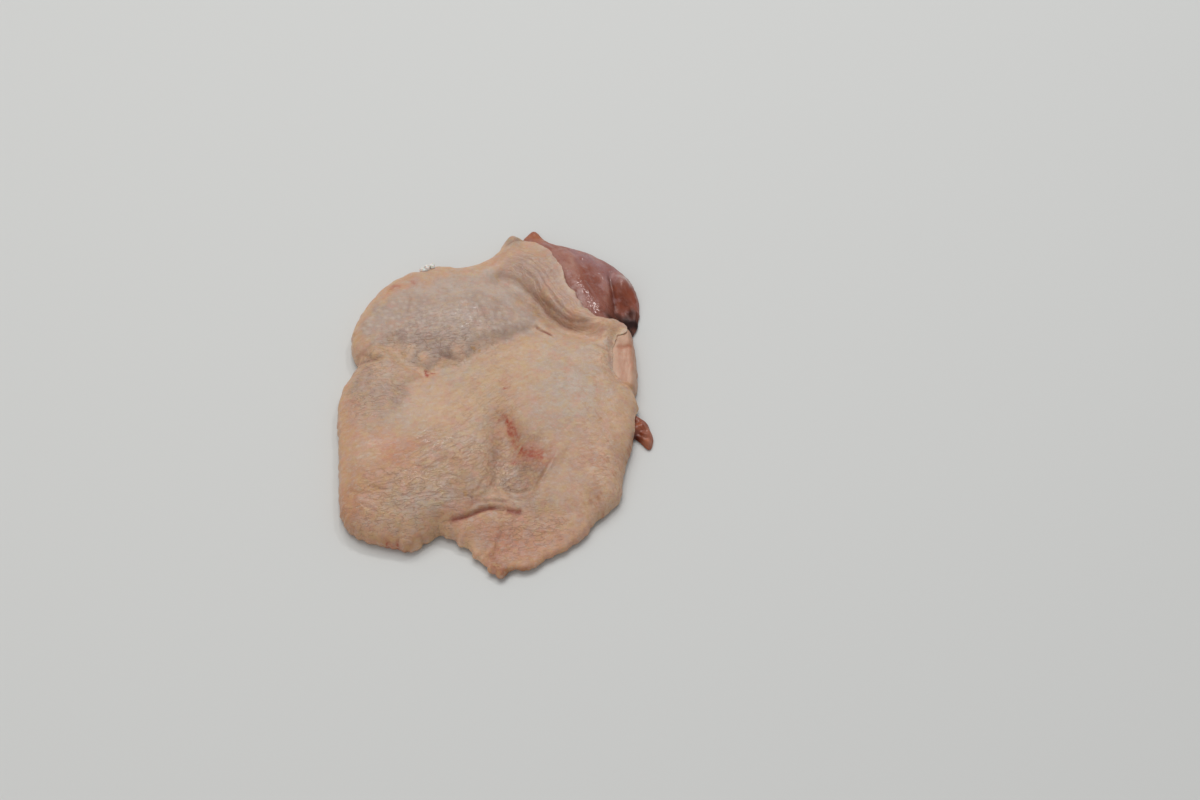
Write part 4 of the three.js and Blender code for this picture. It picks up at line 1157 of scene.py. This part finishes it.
up = vector_math(pimples, "SCALE", add(pimples, "GeometryNodeInputNormal").outputs[0],
                 times(pimples, lift, given.outputs["Height"]))
moved = add(pimples, "GeometryNodeSetPosition", {"Geometry": given.outputs["Geometry"], "Offset": up})
noted = add(pimples, "GeometryNodeStoreNamedAttribute", {
    "Geometry": moved.outputs[0], "Name": "pimple", "Value": lift}, data_type="FLOAT", domain="POINT")
real = add(pimples, "GeometryNodeRealizeInstances", {"Geometry": noted.outputs[0]})
dressed = add(pimples, "GeometryNodeSetMaterial", {
    "Geometry": real.outputs[0], "Material": given.outputs["Material"]})
pimples.links.new(dressed.outputs[0], result.inputs[0])

# %% Skin piece
skin = make_piece("steak_skin", skin_points, skin_faces, skin_mask, skin_finish)
apply_tree(skin, pimples, {
    "Row Spacing": 3.5 * MM, "Height": 0.12 * MM, "Shaking": 0.7, "Drift": 6.0 * MM, "Material": skin_finish})
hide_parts("skin")
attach(skin, "root")


# %% [markdown]
# ## Crumbs of fat
#
# Where the skin was torn off at the back, a few white crumbs of fat hang at its edge. Each is the same
# small lumpy ball, set on a point that carries its own size, and turned at random.

# %% Crumbs
CRUMBS = [   # x, y, height over the skin, half width
    (-29.2, 72.0, 0.9, 1.6), (-31.0, 70.8, 1.2, 1.3), (-33.0, 70.2, 0.7, 1.4), (-30.6, 69.2, 0.6, 1.2),
    (-28.4, 70.4, 0.7, 1.0), (-32.2, 68.6, 0.4, 1.0),
]
crumb_finish, tree, shader = start_material("white_fat_crumb", 0.35, 1.5, 0.3, 0.2)
place = add(tree, "ShaderNodeTexCoord").outputs["Object"]
lumps = ramp(tree, noise(tree, place, 0.8, 3.0), 0.35, 0.65)
colour = mixed(tree, lumps, paint(232, 230, 226), paint(214, 204, 194))
coloured(tree, shader, colour, ramp(tree, noise(tree, place, 0.6), 0.3, 0.7, 0.3, 0.45))
bumped(tree, shader, noise(tree, place, 0.5, 2.0), 0.6, 0.3)

crumbs, given, result = nodes_tree("crumbs", {"Seed": "NodeSocketInt", "Lumpiness": "NodeSocketFloat",
                                              "Material": "NodeSocketMaterial"})
ball = add(crumbs, "GeometryNodeMeshIcoSphere", {"Radius": 1.0, "Subdivisions": 4})
lump = add(crumbs, "ShaderNodeTexNoise", {"Scale": 1.3, "Detail": 2.0}).outputs["Color"]
lump = vector_math(crumbs, "SCALE", vector_math(crumbs, "SUBTRACT", lump, (0.5, 0.5, 0.5)),
                   given.outputs["Lumpiness"])
lumpy = add(crumbs, "GeometryNodeSetPosition", {"Geometry": ball.outputs[0], "Offset": lump})
turn = add(crumbs, "FunctionNodeRandomValue", {
    0: (0, 0, 0), 1: (6.28, 6.28, 6.28), "Seed": given.outputs["Seed"]}, data_type="FLOAT_VECTOR")
size = add(crumbs, "GeometryNodeInputNamedAttribute", {"Name": "half_width"}, data_type="FLOAT")
spots = add(crumbs, "GeometryNodeMeshToPoints", {"Mesh": given.outputs["Geometry"]})
set_out = add(crumbs, "GeometryNodeInstanceOnPoints", {
    "Points": spots.outputs[0], "Instance": lumpy.outputs[0],
    "Rotation": turn.outputs[0], "Scale": size.outputs[0]})
real = add(crumbs, "GeometryNodeRealizeInstances", {"Geometry": set_out.outputs[0]})
smooth = add(crumbs, "GeometryNodeSetShadeSmooth", {"Geometry": real.outputs[0]})
dressed = add(crumbs, "GeometryNodeSetMaterial", {"Geometry": smooth.outputs[0],
                                                  "Material": given.outputs["Material"]})
crumbs.links.new(dressed.outputs[0], result.inputs[0])

crumb_spots = []
for x, y, over, half_width in CRUMBS:
    nearest = np.argmin(np.hypot(upper[:, 0] - x, upper[:, 1] - y))
    crumb_spots.append((x, y, top[nearest] + over))
crumb_sizes = [half_width * MM for *_, half_width in CRUMBS]
fat_crumbs = make_piece("fat_crumbs", np.array(crumb_spots), [], {"half_width": crumb_sizes}, crumb_finish)
apply_tree(fat_crumbs, crumbs, {"Seed": 7, "Lumpiness": 0.9, "Material": crumb_finish})
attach(fat_crumbs, "root")


# %% [markdown]
# ## The meat
#
# The meat fills the hollow of the skin and comes out bare at the back right corner. There it shows what
# muscle is: fibres that run one way, wrapped in a silvery membrane that is torn open along a split, with a
# hollow beside it. The split is darkened with painted shade and the hollow is painted near-black as shade.
# Underneath, where the bone was cut out, the muscle bundles lie side by side with seams between them.

# %% Shape of the meat
MEAT_CELLS = 200
FIBRE_TURN = 114.0
BARE_FIELD = [(44, 34), (62, 33), (68, 48), (66, 70), (44, 92), (20, 102), (8, 100), (18, 84), (30, 60)]
SPLIT = [(49.2, 69), (51.2, 62), (52.2, 54), (52.4, 45)]
MUSCLE_MARKS = [   # line, depth in mm (above 0 for a ridge), half width
    (SPLIT, -1.1, 0.7),
    ([(47.2, 66), (49.6, 59), (50.2, 50), (50.4, 44)], 0.6, 1.6),
    ([(53, 66), (56, 63.5), (60, 62.5)], 0.5, 1.6), ([(53.6, 58), (56, 54), (59.6, 52)], -0.5, 1.0),
    ([(26, 89), (32, 83.5), (37, 78)], -0.45, 0.9), ([(33, 85), (40, 80), (46, 73)], -0.25, 1.2),
    ([(20.5, 91), (24, 87), (27, 83)], -0.6, 0.8), ([(38, 70), (41, 62), (43, 54)], -0.25, 1.4),
    ([(60, 66), (62, 58), (61.5, 50)], 0.4, 1.2),
]
MUSCLE_SEAMS = [
    [(-50, 30), (-20, 20), (10, 26), (40, 20)], [(-48, -20), (-20, -12), (12, -18), (48, -30)],
    [(2, 70), (6, 30), (0, -20), (10, -52)], [(-34, 58), (-30, 20), (-36, -30), (-30, -62)],
]

meat_edge, meat_out = even_edge(MEAT_EDGE, 4 * MEAT_CELLS, STEAK_HUB, lambda edge: 0.2, 8)
meat_places = lay_net(meat_edge, meat_out, STEAK_HUB, MEAT_CELLS, EDGE_TUCK)
meat_upper_count, meat_lower_count = (MEAT_CELLS + 1) ** 2, (MEAT_CELLS // 2 + 1) ** 2
meat_upper, meat_lower = meat_places[:meat_upper_count], meat_places[-meat_lower_count:]
inward = np.maximum(line_distance(meat_places, meat_edge[::2], closed=True)[0], 0)
upper_inward, lower_inward = inward[:meat_upper_count], inward[-meat_lower_count:]

fibres = 0.05 * grain(meat_upper, FIBRE_TURN, 12, 1.6, 51) + 0.16 * waves(meat_upper, 5.0, 52)
marks = sum(rise * stroke(meat_upper, line, width) for line, rise, width in MUSCLE_MARKS)
bare = (fibres + marks) * inside(meat_upper, BARE_FIELD, 6.0) * ease(upper_inward / 2.5)
seams = sum(1.6 * stroke(meat_lower, line, 2.0, fade=0.1) for line in MUSCLE_SEAMS)
cut_grain = 0.25 * np.clip(grain(meat_lower, 100, 18, 2.2, 61), 0, 2)
cut_side = (seams + cut_grain) * ease(lower_inward / 8 - 0.3)
bare_top = np.maximum(meat_top(meat_upper, upper_inward) + bare, 1.0)
meat_points, meat_faces = raise_net(meat_places, MEAT_CELLS, bare_top, cut_side)

# %% Masks of the meat
bent = meat_places + 1.2 * np.stack([waves(meat_places, 4.0, 71), waves(meat_places, 4.0, 72)], 1)
meat_mask = {name: cover(bent, ovals) for name, ovals in {
    "silver": [(43, 78, 11, 6, -35, 0.9), (49.5, 64, 3, 6, 8, 0.5), (34, 84, 8, 4, -30, 0.8),
               (55, 66, 4, 3.4, 30, 0.7), (50, 70, 5, 5, 20, 0.4), (24, 86, 5, 4, -40, 0.6)],
    "red_meat": [(39, 63, 9, 12, 25, 0.85), (45, 57, 7, 11, 20, 0.9), (47, 44, 5, 4, 0, 0.8)],
    "pink": [(32, 74, 4, 10, 20, 0.9), (32, 64, 2, 7, 25, 0.5), (49, 57, 2.0, 9, 8, 0.6),
             (27, 84, 5, 4, 0, 0.6), (56, 65, 4, 3, 20, 0.6), (42, 82, 8, 2.4, -35, 0.5)],
    "brown": [(58, 54, 6.5, 8, 0, 1.0), (62, 58, 3, 9, 0, 0.8), (58, 72, 4, 6, 45, 0.3)],
    # painted shade: the hollow beside the split
    "hollow_shade": [(57.5, 43, 7, 5, 8, 1.0), (56, 40, 7, 3, 0, 1.0)],
    "tip": [(16, 96, 8, 6, 0, 1.0), (24, 90, 5, 4, 0, 0.4)],
    "shine": [(41, 55, 9, 12, 20, 1.0), (45, 46, 5, 5, 0, 0.9), (56, 63.5, 4.5, 4, 0, 1.0),
              (42, 74, 7, 6, 0, 0.35), (34, 68, 3, 6, 25, 0.3)],
}.items()}
# painted shade along the groove of the split
meat_mask["split_shade"] = strokes(meat_places, [(SPLIT, 0.8, 1.0)])

# %% Meat material
# near-black painted shade for the hollow
HOLLOW_SHADE = paint(36, 12, 8)
MEAT_PAINTS = [   # mask, its paint, and how strong it is where the blotches are low and where they are high
    ("red_meat", paint(136, 66, 44), 0.8, 1.0), ("silver", paint(152, 116, 119), 0.65, 1.0),
    ("pink", paint(180, 136, 120), 0.5, 0.9), ("brown", paint(138, 68, 46), 0.8, 1.0),
    ("split_shade", paint(108, 56, 44), 0.8, 1.0), ("tip", paint(166, 100, 66), 0.8, 1.0),
    ("hollow_shade", HOLLOW_SHADE, 1.0, 1.0),
]
meat_finish, tree, shader = start_material("raw_muscle", 0.25, 2.4, 0.0, 0.08)
shader.inputs["Specular IOR Level"].default_value = 0.2
place = add(tree, "ShaderNodeTexCoord").outputs["Object"]
fibre = noise(tree, stretched(tree, place, FIBRE_TURN, 5.0, 0.9), 0.9, 3.0, 0.6)
blotch = noise(tree, place, 3.6, 3.0)
colour = mixed(tree, ramp(tree, blotch, 0.35, 0.65), paint(152, 98, 84), paint(140, 82, 66))
for mask, over, low, high in MEAT_PAINTS:
    strength = times(tree, mask_of(tree, mask), ramp(tree, blotch, 0.3, 0.7, low, high))
    colour = mixed(tree, strength, colour, over)
colour = mixed(tree, ramp(tree, fibre, 0.50, 0.72, 0.0, 0.22), colour, paint(182, 142, 134))
colour = mixed(tree, ramp(tree, fibre, 0.46, 0.30, 0.0, 0.22), colour, paint(118, 66, 54))
haze = noise(tree, place, 2.4, 3.0, 0.6)
colour = mixed(tree, ramp(tree, haze, 0.54, 0.70, 0.0, 0.5), colour, paint(176, 136, 134))
colour = mixed(tree, ramp(tree, haze, 0.46, 0.32, 0.0, 0.6), colour, paint(142, 72, 44))
# the hollow is painted over once more at full strength, as painted shade
colour = mixed(tree, mask_of(tree, "hollow_shade"), colour, HOLLOW_SHADE)

# the membrane is wet all over but in the hollow, and its film stands in beads that catch a glint each
shine = mask_of(tree, "shine")
matt = math_of(tree, "SUBTRACT", 1.0, mask_of(tree, "hollow_shade"))
gloss = math_of(tree, "SUBTRACT", ramp(tree, fibre, 0.3, 0.7, 0.40, 0.52), times(tree, shine, 0.16))
coloured(tree, shader, colour, math_of(tree, "MAXIMUM", gloss, times(tree, mask_of(tree, "hollow_shade"), 0.8)))
tree.links.new(times(tree, matt, ramp(tree, shine, 0.0, 1.0, 0.12, 0.9)), shader.inputs["Coat Weight"])
beads = times(tree, noise(tree, place, 0.9, 2.0, 0.6), ramp(tree, shine, 0.0, 1.0, 0.5, 2.2))
bumped(tree, shader, math_of(tree, "ADD", times(tree, fibre, 0.8), beads), 0.8, 0.4)
film = add(tree, "ShaderNodeBump", {
    "Height": noise(tree, place, 0.6, 0.0), "Strength": 1.0, "Distance": 0.26 * MM})
tree.links.new(film.outputs[0], shader.inputs["Coat Normal"])

meat = make_piece("thigh_muscle", meat_points, meat_faces, meat_mask, meat_finish)
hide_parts("thigh_meat")
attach(meat, "root")


# %% [markdown]
# ## Fat strip and meat tab
#
# A strip of bare fat lies along the right-hand edge, smooth and wet, with a small crease across it, which is
# darkened with painted shade. Below it a tab of meat pokes out from under the skin, darkened with painted
# shade at its root and pale at its tip.

# %% Scraps
def scrap(stations, cells, height, detail, seed):
    """A small closed piece with a round shoulder all round."""
    hub = np.asarray(stations, float).mean(0)
    edge, out = even_edge(stations, 4 * cells, hub, lambda edge: 0.12, seed)
    places = lay_net(edge, out, hub, cells, 1.2, easing=30)
    top_places, under_count = places[:(cells + 1) ** 2], (cells // 2 + 1) ** 2
    inward = np.maximum(line_distance(top_places, edge, closed=True)[0], 0)
    heights = height * scrap_rise(inward) + detail(top_places) * ease(inward / 2)
    return raise_net(places, cells, heights, np.zeros(under_count))


FAT_CREASE = [(52.5, 25.8), (56, 25), (61.5, 27)]


def fat_detail(points):
    return (fat_swell(points) + 0.12 * waves(points, 3.5, 81) - 0.08 * wrinkles(points, 84, 8, 1.5, 82)
            - 0.08 * wrinkles(points, 10, 6, 1.8, 85) - 0.35 * stroke(points, FAT_CREASE, 0.7))


def tab_detail(points):
    return (0.22 * waves(points, 2.4, 83) + 0.14 * grain(points, -40, 6, 1.0, 84)
            - 0.7 * stroke(points, [(60, -18), (63, -19.5), (66, -22)], 0.9))


fat_points, fat_faces = scrap(FAT_STRIP_EDGE, 56, FAT_HEIGHT, fat_detail, 15)
tab_points, tab_faces = scrap(MEAT_TAB_EDGE, 40, TAB_HEIGHT, tab_detail, 16)
fat_xy, tab_xy = fat_points[:, :2], tab_points[:, :2]

fat_finish, tree, shader = start_material("raw_fat", 0.25, 2.4, 0.05, 0.2)
place = add(tree, "ShaderNodeTexCoord").outputs["Object"]
veins = noise(tree, stretched(tree, place, 85, 5.0, 1.3), 1.3, 3.0, 0.6)
colour = mixed(tree, ramp(tree, veins, 0.35, 0.65), paint(198, 156, 130), paint(184, 132, 106))
colour = mixed(tree, times(tree, mask_of(tree, "cream"), 0.9), colour, paint(200, 168, 142))
# painted shade along the crease across the strip
colour = mixed(tree, times(tree, mask_of(tree, "crease"), 0.8), colour, paint(170, 104, 72))
coloured(tree, shader, colour, ramp(tree, veins, 0.3, 0.7, 0.46, 0.58))
bumped(tree, shader, math_of(tree, "ADD", veins, noise(tree, place, 0.6, 2.0)), 0.5, 0.2)

tab_finish, tree, shader = start_material("raw_meat_tab", 0.2, 2.0, 0.12, 0.15)
place = add(tree, "ShaderNodeTexCoord").outputs["Object"]
fibre = noise(tree, stretched(tree, place, -40, 5.0, 0.8), 0.8, 3.0, 0.6)
colour = mixed(tree, ramp(tree, fibre, 0.35, 0.7), paint(126, 54, 28), paint(156, 84, 50))
# painted shade at the tab's root, where it goes under the skin
colour = mixed(tree, mask_of(tree, "root_shade"), colour, paint(88, 30, 20))
colour = mixed(tree, mask_of(tree, "tip_pale"), colour, paint(176, 112, 86))
coloured(tree, shader, colour, ramp(tree, fibre, 0.3, 0.7, 0.36, 0.48))
bumped(tree, shader, fibre, 0.5, 0.35)

fat_mask = {
    "cream": cover(fat_xy, [(50.5, 16, 3, 16, 0, 0.8), (53, 32, 5, 5, 0, 0.8), (61, 8, 2.5, 8, 0, 0.6)]),
    # painted shade along the crease across the strip
    "crease": stroke(fat_xy, FAT_CREASE, 0.9),
}
tab_mask = {
    # painted shade at the tab's root, where it goes under the skin
    "root_shade": cover(tab_xy, [(60, -19.5, 4, 2.5, -20, 0.9), (59, -10, 2, 6, 0, 0.6)]),
    "tip_pale": cover(tab_xy, [(66.2, -23, 2.6, 2.4, 0, 0.8), (66.5, -17, 2, 4, 0, 0.4)]),
}
fat_strip = make_piece("fat_ribbon", fat_points, fat_faces, fat_mask, fat_finish)
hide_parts("fat_strip")
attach(fat_strip, "root")
meat_tab = make_piece("meat_scrap", tab_points, tab_faces, tab_mask, tab_finish)
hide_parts("meat_tab")
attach(meat_tab, "root")


# %% Sizes and end
new_low, new_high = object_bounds()
for axis, a, b, c, d in zip("xyz", cad_low, cad_high, new_low, new_high):
    print(f"{axis}: solid {a / MM:.2f} to {b / MM:.2f}, visual {c / MM:.2f} to {d / MM:.2f} mm")
